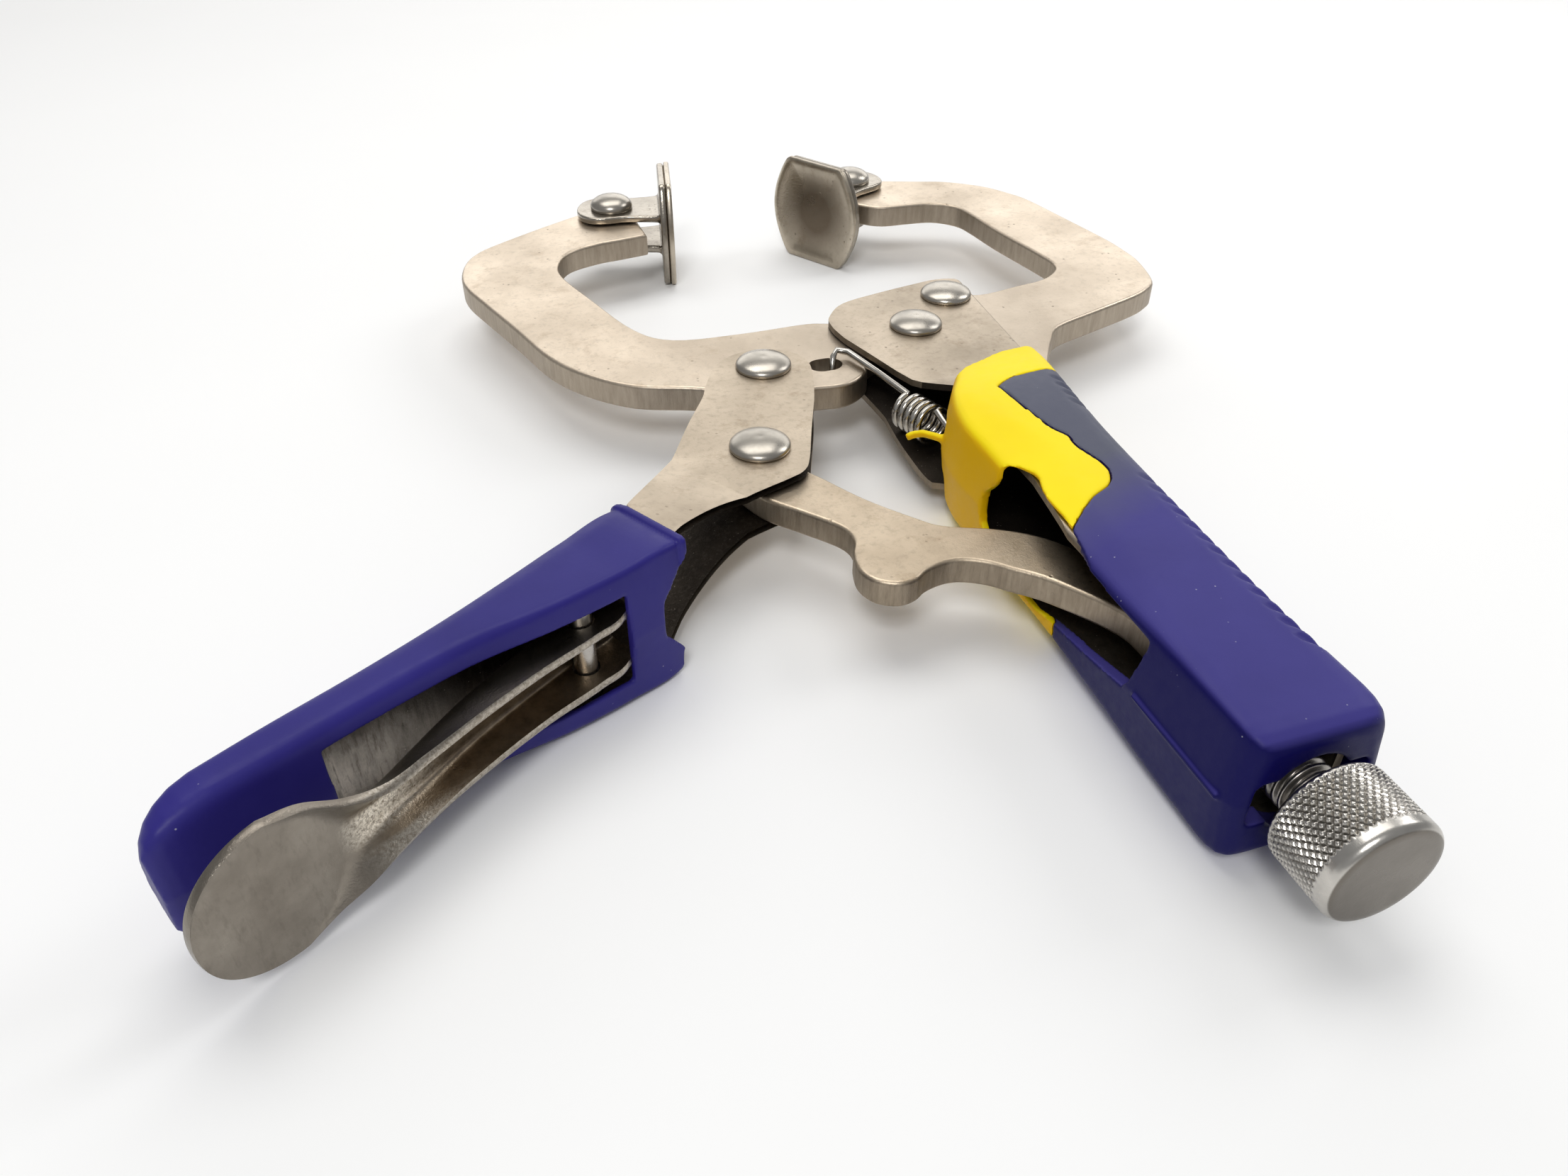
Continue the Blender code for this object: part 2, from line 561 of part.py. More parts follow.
FIXED_FACING = math.radians(210.5)
MOVING_FACING = math.radians(-12.0)
pad("fixed", FIXED_PAD_PIVOT, FIXED_FACING)
pad("moving", MOVING_PAD_PIVOT, MOVING_FACING)

# ---------------------------------------------------------------- tension spring and its anchor

HOOK = (-23.4, -8.9)
COIL_START = Vector((-14.4, -28.8, 0.0))
COIL_DIRECTION = Vector((0.30, -0.954, 0.0)).normalized()
COIL_PITCH = 1.85


def spring_path():
    """The wire's centre line: through the jaw's slot, a straight leg, the coil and the rear hook."""
    across = Vector((COIL_DIRECTION.y, -COIL_DIRECTION.x, 0.0))
    up = Vector((0.0, 0.0, 1.0))
    points = [Vector((HOOK[0] - 1.4, HOOK[1] - 0.4, -1.2)), Vector((HOOK[0] - 1.0, HOOK[1] + 0.2, 1.6)),
              Vector((HOOK[0] - 0.3, HOOK[1] + 1.6, 4.0)), Vector((HOOK[0] + 1.0, HOOK[1] + 2.9, 4.8)),
              Vector((HOOK[0] + 3.4, HOOK[1] + 1.6, 4.5)), Vector((-17.0, -18.0, 4.1))]
    steps = 14
    for k in range(COIL_TURNS * steps + 1):
        angle = 2 * math.pi * k / steps
        points.append(COIL_START + COIL_DIRECTION * (COIL_PITCH * k / steps)
                      + up * (COIL_RADIUS * math.cos(angle)) + across * (COIL_RADIUS * math.sin(angle)))
    end = COIL_START + COIL_DIRECTION * (COIL_PITCH * COIL_TURNS)
    anchor = Vector((*SPRING_ANCHOR, 0.0))
    reach = 1.6 + 0.45 + WIRE_RADIUS
    points.append(end + COIL_DIRECTION * 2.2 + up * 2.6)
    for k in range(8):
        angle = math.radians(165 + 30 * k)
        points.append(anchor + Vector((reach * math.cos(angle), reach * math.sin(angle), 0.6 - 0.15 * k)))
    return points


def wire(points, radius):
    """A round wire along the points, its ends closed."""
    made = curve_line(points, "wire", False)
    made.data.dimensions = "3D"
    made.data.bevel_depth = radius
    made.data.bevel_resolution = 2
    made.data.use_fill_caps = True
    return mesh_of(made)


finish(wire(spring_path(), WIRE_RADIUS), "tension_spring", HOOK, material("spring_steel", BRIGHT, 1.0, 0.25))
anchor_pin = cylinder(SPRING_ANCHOR, 1.6, -8.9, 8.9, 16)
finish(anchor_pin, "spring_anchor_pin", SPRING_ANCHOR, material("anchor_steel", NICKEL, 0.95, 0.4))

# ---------------------------------------------------------------- fixed handle grip, in two mouldings

GRIP = [(-21.0, -4.0, 20.6, 6.6), (-28.0, -5.2, 18.8, 8.6), (-36.0, -8.6, 16.6, 11.0),
        (-44.0, -13.2, 16.0, 12.4), (-56.0, -16.4, 14.4, 13.0), (-72.0, -16.3, 12.8, 13.0),
        (-98.0, -16.2, 11.4, 13.0), (-124.0, -16.8, 10.0, 13.0), (-144.0, -17.0, 10.0, 12.9),
        (-149.0, -16.6, 9.6, 12.6), (-150.4, -15.4, 8.4, 11.8)]


def grip_body():
    """The whole sleeve over the channel, which the two mouldings share out."""
    sleeve = finish(along_y(GRIP, 4.0, steps=3), "fixed_grip", (SCREW_X, -90.0),
                    material("grip_blue", BLUE, 0.0, 0.38))
    inside = [(y, low, high, half) for y, low, high, half in CHANNEL]
    inside[0] = (-10.0, -7.0, 24.0, NOSE_HALF)
    inside[1] = (-25.0, -7.0, 19.6, NOSE_HALF)
    inside[2] = (-31.0, -5.4, 16.5, 6.4)
    inside.insert(3, (-36.0, -6.2, 15.0, 8.0))
    inside[4] = (-44.0, -10.8, 12.8, 10.0)
    cut(sleeve, along_y(inside, 1.2, grow=GAP, steps=2))
    cut(sleeve, along_y([(-130.0, -12.6, 4.4, 6.2), (-160.0, -12.6, 4.4, 6.2)], 3.0))
    cut(sleeve, prism(inset(JAW_OUTLINE, -GAP), -JAW_HALF - GAP, JAW_HALF + GAP))
    return sleeve


grip = grip_body()
FRONT_EDGE = [(-30.0, -16.0), (30.0, -16.0), (30.0, -21.0), (18.0, -22.0), (10.0, -23.6), (3.6, -27.6),
              (-2.4, -31.4), (-7.8, -36.2), (-30.0, -36.2)]
LOWER_FRONT = [(-30.0, -30.0), (-4.0, -30.0), (-4.0, -38.0), (-11.0, -48.6), (-30.0, -50.4)]
SPRING_NOTCH = [(-30.0, -30.0), (0.0, -30.0), (0.0, -41.0), (-6.0, -45.0), (-30.0, -45.0)]
cut(grip, prism(FRONT_EDGE, -20.0, 20.0))
cut(grip, prism(LOWER_FRONT, -20.0, -5.4))
cut(grip, prism(SPRING_NOTCH, -5.5, 5.5))
WINDOW = [(-40.0, -72.0), (-15.0, -72.0), (-13.2, -72.9), (-11.7, -75.0), (-10.6, -78.2), (-11.7, -82.0),
          (-12.4, -86.0), (-12.6, -93.0), (-14.0, -101.0), (-15.6, -108.0), (-16.9, -115.0), (-18.0, -125.8),
          (-40.0, -125.8)]
cut(grip, prism(WINDOW, 0.0, 20.0))
cut(grip, prism([(-40.0, -72.4), (-11.4, -72.4), (-11.4, -125.8), (-40.0, -125.8)], -9.0, 9.0))
# Room for the toggle link when the tool is closed.
cut(grip, prism([(-40.0, -68.4), (-12.4, -68.4), (-12.4, -74.0), (-40.0, -74.0)], -3.6, 3.6))

FRONT_PART = [(-40.0, -10.0), (40.0, -10.0), (40.0, -36.0), (24.0, -38.5), (15.0, -41.0), (8.4, -41.6),
              (3.5, -42.5), (-0.5, -44.4), (-2.6, -46.2), (-2.2, -50.0), (-1.9, -55.0), (-1.4, -60.0),
              (-0.6, -65.0), (0.9, -68.6), (0.5, -72.0), (1.2, -75.6), (2.0, -79.5), (1.6, -82.8),
              (-0.6, -86.1), (-5.0, -88.5), (-9.0, -91.5), (-13.2, -95.2), (-17.5, -98.5), (-40.0, -101.0)]


def copy_of(source, name, mat):
    made = source.copy()
    made.data = source.data.copy()
    made.name = name
    made.data.name = name
    assembly.objects.link(made)
    made.data.materials.clear()
    made.data.materials.append(mat)
    return made


def widened(points, amount):
    return inset(points, -amount)


grip_front = copy_of(grip, "fixed_grip_front", material("grip_yellow", YELLOW, 0.0, 0.4))
cut(grip_front, prism(FRONT_PART, -20.0, 20.0), "INTERSECT")
cut(grip, prism(widened(FRONT_PART, 0.12), -20.0, 20.0))

# ---------------------------------------------------------------- lever handle grip

LEVER_GRIP = [(5.6, 1.0, 19.2, 13.2), (7.0, 0.8, 19.2, 13.7), (20.0, 1.2, 19.2, 14.0),
              (32.0, 2.2, 17.6, 13.9), (46.0, 3.0, 14.2, 13.6), (60.0, 3.3, 13.0, 13.3),
              (76.0, 3.0, 13.0, 13.0), (86.0, 3.0, 12.9, 12.8), (92.0, 4.2, 12.7, 11.8), (96.2, 6.6, 12.0, 8.6)]
lever_grip = finish(along_lever(LEVER_GRIP, 3.0, steps=3), "lever_grip", LEVER_PIVOT,
                    material("lever_blue", BLUE, 0.0, 0.38))
lining = [(along, low, high, half) for along, low, high, half in LEVER if along > 0.0]
lining.insert(0, (-1.0, 3.0, 17.6, 9.6))
cut(lever_grip, along_lever(lining, 1.2, grow=GAP, steps=2))
LEVER_WINDOW = [lever_plan(19.0, 9.0), lever_plan(19.0, 40.0), lever_plan(71.0, 40.0), lever_plan(71.0, 9.0)]
cut(lever_grip, prism(LEVER_WINDOW, -8.7, 8.7))
LINK_NOTCH = [lever_plan(0.0, 17.2), lever_plan(0.0, 40.0), lever_plan(11.5, 40.0), lever_plan(11.5, 17.2)]
cut(lever_grip, prism(LINK_NOTCH, -4.6, 4.6))

for made in assembly.objects:
    made.data.shade_smooth()
    made.data.set_sharp_from_angle(angle=math.radians(35.0))
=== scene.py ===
"""Looks of the locking C-clamp pliers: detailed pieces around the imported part, lying on a pale floor in soft light.

Shapes are built in plan millimetres: x and y from the main pivot, z from the tool's mid plane.
"""

import json
import math

import bmesh
import bpy
import numpy as np
from mathutils import Matrix, Vector


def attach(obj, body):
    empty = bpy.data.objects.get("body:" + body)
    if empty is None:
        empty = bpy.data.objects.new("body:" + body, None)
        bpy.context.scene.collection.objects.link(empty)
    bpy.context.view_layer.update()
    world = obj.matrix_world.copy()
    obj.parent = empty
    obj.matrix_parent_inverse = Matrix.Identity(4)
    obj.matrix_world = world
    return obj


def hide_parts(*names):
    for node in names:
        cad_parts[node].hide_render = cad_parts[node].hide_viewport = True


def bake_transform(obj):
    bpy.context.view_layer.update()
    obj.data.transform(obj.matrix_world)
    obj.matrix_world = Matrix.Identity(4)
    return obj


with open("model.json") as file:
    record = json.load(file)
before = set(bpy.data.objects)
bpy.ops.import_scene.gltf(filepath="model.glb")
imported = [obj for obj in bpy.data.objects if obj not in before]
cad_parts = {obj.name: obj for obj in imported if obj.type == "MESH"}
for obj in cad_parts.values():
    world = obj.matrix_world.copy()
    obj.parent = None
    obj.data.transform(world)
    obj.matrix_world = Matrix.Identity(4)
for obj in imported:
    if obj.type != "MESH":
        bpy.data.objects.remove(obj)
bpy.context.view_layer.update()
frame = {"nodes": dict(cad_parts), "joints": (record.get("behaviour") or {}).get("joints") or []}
scene = bpy.context.scene

MM = 0.001
JOINTS = {joint["name"]: joint for joint in frame["joints"]}
ORIGIN = Vector(JOINTS["jaw_pivot"]["pos_m"])
TO_FRAME = Matrix.Translation(ORIGIN) @ Matrix.Scale(MM, 4)


def pivot_of(joint):
    """A joint's place in plan millimetres."""
    spot = (Vector(JOINTS[joint]["pos_m"]) - ORIGIN) / MM
    return (spot.x, spot.y)


MAIN = (0.0, 0.0)
JAW_RIVET = (13.9, 13.1)
LEVER_PIVOT = pivot_of("lever_pivot")
LINK_PIVOT = pivot_of("link_pivot")
RELEASE_PIVOT = pivot_of("release_pivot")
FIXED_PAD_PIVOT = pivot_of("fixed_pad_swivel")
MOVING_PAD_PIVOT = pivot_of("moving_pad_swivel")
SCREW_X, KNOB_Y = pivot_of("knob_turn")
SCREW_TIP_Y = -124.5
JAW_HALF = 3.1
LINK_HALF = 2.8
SHEET = 1.5
NOSE_HALF = JAW_HALF + 0.35 + SHEET
SHANK = 3.4
BORE = SHANK + 0.35
THROUGH = (-20.0, 20.0)
HEAD = 6.3
KNOB_LENGTH = 13.2
KNOB_RADIUS = 9.6
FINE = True

# ------------------------------------------------------------------ materials


class Shader:
    """A node tree under construction, with short calls for the nodes that the materials use."""

    def __init__(self, name):
        self.mat = bpy.data.materials.new(name)
        self.mat.use_nodes = True
        self.tree = self.mat.node_tree
        self.bsdf = self.tree.nodes["Principled BSDF"]
        coords = self.tree.nodes.new("ShaderNodeTexCoord")
        scale = self.tree.nodes.new("ShaderNodeMapping")
        scale.inputs["Scale"].default_value = (1 / MM,) * 3
        self.tree.links.new(coords.outputs["Object"], scale.inputs["Vector"])
        self.place = scale.outputs["Vector"]

    def node(self, kind, **inputs):
        made = self.tree.nodes.new(kind)
        for key, value in inputs.items():
            self.put(made.inputs[key.replace("_", " ")], value)
        return made

    def put(self, socket, value):
        if isinstance(value, bpy.types.NodeSocket):
            self.tree.links.new(value, socket)
        else:
            socket.default_value = value

    def noise(self, scale, detail=3.0, rough=0.55, stretch=(1.0, 1.0, 1.0), distortion=0.0):
        """Noise over the piece, its scale in features per millimetre."""
        place = self.place
        if stretch != (1.0, 1.0, 1.0):
            mapped = self.node("ShaderNodeMapping", Vector=self.place)
            mapped.inputs["Scale"].default_value = stretch
            place = mapped.outputs["Vector"]
        made = self.node("ShaderNodeTexNoise", Vector=place, Scale=scale, Detail=detail, Roughness=rough,
                         Distortion=distortion)
        return made.outputs["Fac"]

    def cells(self, scale, feature="F1"):
        made = self.node("ShaderNodeTexVoronoi", Vector=self.place, Scale=scale)
        made.feature = feature
        return made.outputs["Distance"]

    def ramp(self, value, low, high, start=0.0, end=1.0):
        made = self.node("ShaderNodeMapRange", Value=value)
        made.clamp = True
        made.inputs["From Min"].default_value = low
        made.inputs["From Max"].default_value = high
        made.inputs["To Min"].default_value = start
        made.inputs["To Max"].default_value = end
        return made.outputs["Result"]

    def math(self, operation, a, b=0.0):
        made = self.tree.nodes.new("ShaderNodeMath")
        made.operation = operation
        self.put(made.inputs[0], a)
        self.put(made.inputs[1], b)
        return made.outputs[0]

    def mix(self, factor, a, b):
        made = self.tree.nodes.new("ShaderNodeMix")
        made.data_type = "RGBA"
        self.put(made.inputs[0], factor)
        self.put(made.inputs[6], a)
        self.put(made.inputs[7], b)
        return made.outputs[2]

    def bump(self, height, distance, strength=1.0, below=None):
        made = self.node("ShaderNodeBump", Height=height, Distance=distance * MM, Strength=strength)
        if below is not None:
            self.put(made.inputs["Normal"], below)
        return made.outputs["Normal"]

    def along(self, start, direction):
        """The distance from a plan point along a plan direction, in millimetres."""
        moved = self.tree.nodes.new("ShaderNodeVectorMath")
        moved.operation = "SUBTRACT"
        self.put(moved.inputs[0], self.place)
        moved.inputs[1].default_value = ORIGIN / MM + Vector((start[0], start[1], 0.0))
        made = self.tree.nodes.new("ShaderNodeVectorMath")
        made.operation = "DOT_PRODUCT"
        self.put(made.inputs[0], moved.outputs[0])
        made.inputs[1].default_value = (direction[0], direction[1], 0.0)
        return made.outputs["Value"]

    def distance(self, centre):
        """The distance in plan from a plan point, in millimetres."""
        across, ahead = self.along(centre, (1.0, 0.0)), self.along(centre, (0.0, 1.0))
        return self.math("SQRT", self.math("ADD", self.math("MULTIPLY", across, across),
                                           self.math("MULTIPLY", ahead, ahead)))

    def from_axis(self, start, direction):
        """The distance from a level line at the mid plane, given by a plan point and direction, in millimetres."""
        across, up = self.along(start, (-direction[1], direction[0])), self.height()
        return self.math("SQRT", self.math("ADD", self.math("MULTIPLY", across, across),
                                           self.math("MULTIPLY", up, up)))

    def upright(self):
        """How far the surface is from level: 0 on a plate's faces and 1 on its walls."""
        geometry = self.tree.nodes.new("ShaderNodeNewGeometry")
        parts = self.node("ShaderNodeSeparateXYZ", Vector=geometry.outputs["Normal"])
        return self.ramp(self.math("ABSOLUTE", parts.outputs["Z"]), 0.8, 0.35)

    def height(self):
        """The height above the tool's mid plane, in millimetres."""
        parts = self.node("ShaderNodeSeparateXYZ", Vector=self.place)
        return self.math("SUBTRACT", parts.outputs["Z"], ORIGIN.z / MM)

    def set(self, **inputs):
        for key, value in inputs.items():
            self.put(self.bsdf.inputs[key.replace("_", " ")], value)
        return self.mat


def rgb(r, g, b):
    return (r, g, b, 1.0)


def nickel(name, light, dark, rough=0.36, grain=1.0, walls=True, pits=True, pivot_shade=False, dish=None):
    """Nickel plate over stamped steel: cloudy, finely grained and pitted; its sheared walls are torn and also painted
    darker as painted shade; it can be painted darker towards the main pivot and in a dish's middle, both painted shade.
    """
    s = Shader(name)
    clouds = s.noise(0.045, 4.0, 0.6)
    fine = s.noise(0.7, 4.0, 0.7)
    grit = s.noise(3.2, 2.0, 0.6)
    tone = s.mix(s.ramp(clouds, 0.35, 0.68), rgb(*light), rgb(*dark))
    tone = s.mix(s.ramp(fine, 0.50, 0.72, 0.0, 0.45), tone, rgb(*[0.70 * c for c in dark]))
    stain = s.noise(0.16, 5.0, 0.75)
    tone = s.mix(s.ramp(stain, 0.54, 0.74, 0.0, 0.5), tone, rgb(0.62 * dark[0], 0.54 * dark[1], 0.44 * dark[2]))
    # Painted shade: darker towards the main pivot and lighter towards the jaw tips, standing in for the broad fall of
    # light.
    if pivot_shade:
        tone = s.mix(s.ramp(s.distance(MAIN), 75.0, 15.0, 0.0, 0.75), tone, rgb(*[0.62 * c for c in light]))
    # Painted shade: the middle of a dished pad face is painted darker.
    if dish:
        ragged = s.math("ADD", s.from_axis(*dish), s.math("MULTIPLY", fine, 2.0))
        tone = s.mix(s.ramp(ragged, 16.0, 6.5, 0.0, 0.9), tone, rgb(0.115, 0.088, 0.062))
    roughness = s.ramp(clouds, 0.3, 0.7, rough - 0.05, rough + 0.09)
    normal = s.bump(grit, 0.035 * grain, 0.7)
    normal = s.bump(fine, 0.05 * grain, 0.5, normal)
    if pits:
        holes = s.math("MULTIPLY", s.ramp(s.cells(0.42), 0.16, 0.08), s.ramp(s.noise(0.11, 2.0), 0.5, 0.62))
        tone = s.mix(s.math("MULTIPLY", holes, 0.6), tone, rgb(0.13, 0.10, 0.07))
        normal = s.bump(s.math("SUBTRACT", 1.0, holes), 0.08, 0.6, normal)
        scratch = s.noise(1.5, 2.0, 0.6, (1.0, 0.06, 1.0))
        normal = s.bump(scratch, 0.02, 0.35, normal)
    # Walls get torn streaks and a darker tone; the darker tone is partly painted shade for walls that face away from
    # the light.
    if walls:
        wall = s.upright()
        tear = s.noise(0.8, 4.0, 0.7, (1.0, 1.0, 0.16))
        streak = s.ramp(tear, 0.35, 0.7)
        torn_tone_with_painted_light = s.mix(streak, rgb(*[0.60 * c for c in light]), rgb(*[0.56 * c for c in dark]))
        tone = s.mix(wall, tone, torn_tone_with_painted_light)
        roughness = s.math("ADD", roughness, s.math("MULTIPLY", wall, 0.10))
        normal = s.bump(s.math("MULTIPLY", tear, wall), 0.16, 0.6, normal)
    return s.set(Base_Color=tone, Metallic=1.0, Roughness=roughness, Normal=normal)


def inside(name, start, direction, near, far, light, dark, height_shade_range=None):
    """The inside of a folded channel: grainy steel painted darker along a direction as painted shade, and darker with
    height when a height range is given, with bright specks.
    """
    s = Shader(name)
    # Painted shade: darker the further along the direction.
    depth = s.ramp(s.along(start, direction), near, far)
    streak = s.noise(0.35, 4.0, 0.7, (1.0, 1.0, 0.3))
    grit = s.noise(2.6, 3.0, 0.7)
    tone = s.mix(depth, rgb(*light), rgb(*dark))
    tone = s.mix(s.ramp(streak, 0.4, 0.75, 0.0, 0.55), tone, rgb(*[0.4 * c for c in dark]))
    # Painted shade: darker with height above the mid plane.
    if height_shade_range:
        shade = s.math("ADD", s.height(), s.math("MULTIPLY", s.noise(0.22, 3.0), 5.0))
        tone = s.mix(s.ramp(shade, *height_shade_range), tone, rgb(*dark))
        tear = s.noise(1.1, 4.0, 0.75, (1.0, 1.0, 0.14))
        tone = s.mix(s.ramp(tear, 0.5, 0.66, 0.0, 0.6), tone, rgb(0.12, 0.10, 0.08))
    specks = s.ramp(s.cells(1.15), 0.16, 0.07)
    sparse = s.math("MULTIPLY", specks, s.ramp(s.noise(0.5, 2.0), 0.52, 0.62))
    tone = s.mix(s.math("MULTIPLY", sparse, 0.7), tone, rgb(0.62, 0.56, 0.46))
    normal = s.bump(grit, 0.10, 0.8)
    normal = s.bump(streak, 0.10, 0.5, normal)
    return s.set(Base_Color=tone, Metallic=0.85, Roughness=s.ramp(grit, 0.3, 0.7, 0.34, 0.62), Normal=normal)


def release_steel():
    """The release lever: a grey brushed paddle, a painted highlight with sparkle on its waist, and a brown trough whose
    sheared edges carry a painted highlight.
    """
    s = Shader("release_nickel")
    clouds = s.noise(0.09, 4.0, 0.65)
    grit = s.noise(2.6, 3.0, 0.7)
    brush = s.noise(1.1, 3.0, 0.7, (1.0, 0.25, 0.25))
    tone = s.mix(s.ramp(clouds, 0.35, 0.68), rgb(0.29, 0.26, 0.22), rgb(0.205, 0.18, 0.15))
    tone = s.mix(s.ramp(brush, 0.5, 0.75, 0.0, 0.4), tone, rgb(0.13, 0.11, 0.09))
    geometry = s.tree.nodes.new("ShaderNodeNewGeometry")
    normal = geometry.outputs["Normal"]
    turned_to = s.tree.nodes.new("ShaderNodeVectorMath")
    turned_to.operation = "DOT_PRODUCT"
    s.put(turned_to.inputs[0], normal)
    turned_to.inputs[1].default_value = (0.6, -0.8, 0.0)
    lean = s.node("ShaderNodeSeparateXYZ", Vector=normal).outputs["Z"]
    up = s.height()
    inward = s.ramp(s.math("MULTIPLY", lean, s.math("SIGN", up)), -0.15, -0.5)
    facing = s.ramp(turned_to.outputs["Value"], 0.15, 0.5)
    side = s.math("ABSOLUTE", up)
    ahead = s.along((-136.0, -112.5), (0.8, 0.6))
    channel = s.ramp(ahead, -1.5, 5.0)
    inner = s.math("MAXIMUM", s.math("MULTIPLY", inward, s.ramp(side, 5.3, 4.9)),
                   s.math("MULTIPLY", facing, s.ramp(side, 4.5, 4.1)))
    rim = s.math("MULTIPLY", facing, s.ramp(side, 4.1, 4.5))
    brown = s.mix(s.ramp(s.noise(0.3, 4.0, 0.7), 0.35, 0.7), rgb(0.33, 0.265, 0.19), rgb(0.17, 0.13, 0.09))
    tone = s.mix(s.math("MULTIPLY", inner, channel), tone, brown)
    # Painted highlight: the flanges' free edges are painted bright, with a torn texture.
    torn_tone_with_painted_light = s.mix(s.ramp(s.noise(1.6, 4.0, 0.8), 0.4, 0.62), rgb(0.50, 0.455, 0.39), rgb(0.26, 0.225, 0.18))
    tone = s.mix(s.math("MULTIPLY", rim, channel), tone, torn_tone_with_painted_light)
    # Painted highlight: a bright sparkling band painted on the waist.
    waist_highlight = s.math("MULTIPLY", s.ramp(ahead, -3.0, 2.0), s.ramp(ahead, 19.0, 7.0))
    waist_highlight = s.math("MULTIPLY", s.math("MULTIPLY", waist_highlight, facing), s.ramp(side, 3.6, 1.6))
    sparkle = s.ramp(s.noise(1.9, 4.0, 0.8), 0.36, 0.6)
    tone = s.mix(s.math("MULTIPLY", waist_highlight, sparkle), tone, rgb(0.95, 0.88, 0.76))
    height = s.bump(grit, 0.07, 0.8)
    height = s.bump(brush, 0.04, 0.5, height)
    return s.set(Base_Color=tone, Metallic=1.0, Roughness=s.ramp(clouds, 0.3, 0.7, 0.26, 0.38), Normal=height)


def bright(name, light, rough=0.2, groove=None):
    """Smooth bright plated steel with faint smudges; grooves nearer the screw's axis than stated are painted darker."""
    s = Shader(name)
    clouds = s.noise(0.16, 3.0, 0.6)
    hair = s.noise(1.4, 3.0, 0.7, (1.0, 0.12, 1.0))
    tone = s.mix(s.ramp(clouds, 0.35, 0.7), rgb(*light), rgb(*[0.70 * c for c in light]))
    if groove:
        groove_darkening = s.ramp(s.from_axis((SCREW_X, 0.0), (0.0, 1.0)), groove, groove - 0.45, 0.0, 0.9)
        back = s.ramp(s.along((0.0, KNOB_Y - KNOB_LENGTH + 2.5), (0.0, 1.0)), 0.0, 0.5)
        tone = s.mix(s.math("MULTIPLY", groove_darkening, back), tone, rgb(0.10, 0.085, 0.07))
        # Painted shade: the knob's flat rear end face is painted a darker grey.
        end = s.ramp(s.along((0.0, KNOB_Y - KNOB_LENGTH + 0.16), (0.0, 1.0)), 0.14, 0.0)
        tone = s.mix(end, tone, s.mix(clouds, rgb(0.21, 0.19, 0.165), rgb(0.155, 0.14, 0.12)))
    normal = s.bump(hair, 0.02, 0.5)
    normal = s.bump(s.noise(2.4, 2.0), 0.02, 0.5, normal)
    return s.set(Base_Color=tone, Metallic=1.0, Roughness=s.ramp(clouds, 0.3, 0.7, rough, rough + 0.1),
                 Normal=normal)


def moulded_plastic(name, colour, deep, rough=0.46, dusty=0.0, fade=None, shine=0.45, wall=None):
    """Satin moulded plastic with a fine skin, faint handling marks and a few specks of dust; given a wall colour, its
    walls are painted in it as painted shade.
    """
    s = Shader(name)
    clouds = s.noise(0.05, 3.0, 0.55)
    skin = s.noise(4.5, 2.0, 0.5)
    swirl = s.noise(0.5, 4.0, 0.65)
    tone = s.mix(s.ramp(clouds, 0.3, 0.72), rgb(*colour), rgb(*deep))
    if fade:
        ahead = s.math("ADD", s.along((0.0, -97.0), (-0.35, 1.0)), s.math("MULTIPLY", clouds, 10.0))
        tone = s.mix(s.ramp(ahead, 4.0, 24.0), tone, rgb(*fade))
    # Painted shade: walls take a darker, richer colour than the top faces.
    if wall:
        tone = s.mix(s.upright(), tone, rgb(*wall))
    specks = s.math("MULTIPLY", s.ramp(s.cells(0.33), 0.055, 0.03), s.ramp(s.noise(0.13, 2.0), 0.5, 0.6))
    tone = s.mix(s.math("MULTIPLY", specks, dusty), tone, rgb(0.62, 0.62, 0.68))
    normal = s.bump(skin, 0.02, 0.5)
    normal = s.bump(swirl, 0.03, 0.35, normal)
    s.bsdf.inputs["Specular IOR Level"].default_value = shine
    return s.set(Base_Color=tone, Roughness=s.ramp(swirl, 0.3, 0.7, rough - 0.05, rough + 0.06), Normal=normal)


# These copies of one nickel differ in brightness as painted light: each part's base is set to how bright it looks under
# the light, the jaws lightest and the fixed handle darkest.
jaw_metal = nickel("jaw_nickel", (0.71, 0.605, 0.48), (0.57, 0.48, 0.375), pivot_shade=True)
plate_metal = nickel("plate_nickel", (0.50, 0.42, 0.325), (0.37, 0.31, 0.235), 0.36)
lever_metal = nickel("lever_nickel", (0.58, 0.49, 0.38), (0.43, 0.36, 0.275), 0.36)
link_metal = nickel("link_nickel", (0.66, 0.55, 0.415), (0.46, 0.375, 0.275), 0.36, 1.5)
nut_metal = nickel("nut_nickel", (0.40, 0.37, 0.33), (0.26, 0.24, 0.20), 0.4, 1.9, False)
release_metal = release_steel()
pad_metal = nickel("pad_nickel", (0.44, 0.40, 0.34), (0.28, 0.25, 0.21), 0.24, 0.9, False)
# The channel insides are painted dark as painted shade, darkest deep in the channel; the lever's inside also darkens
# with height.
fixed_inside = inside("fixed_channel_inside", (0.0, -60.0), (0.0, 1.0), -90.0, 0.0, (0.20, 0.17, 0.13),
                      (0.045, 0.036, 0.028))
lever_inside = inside("lever_channel_inside", (-82.0, -60.0), (-0.866, -0.5), 68.0, 44.0,
                      (0.66, 0.60, 0.52), (0.055, 0.042, 0.03), (4.0, 9.5))
rivet_metal = bright("rivet_steel", (0.49, 0.455, 0.40), 0.25)
knob_metal = bright("knob_steel", (0.62, 0.595, 0.55), 0.24, KNOB_RADIUS - 0.08)
thread_metal = bright("thread_steel", (0.52, 0.49, 0.45), 0.24, 4.2)
spring_metal = bright("spring_steel", (0.56, 0.53, 0.48), 0.18)
blue_plastic = moulded_plastic("grip_blue", (0.029, 0.023, 0.205), (0.020, 0.015, 0.165), 0.42, 0.5, shine=0.22)
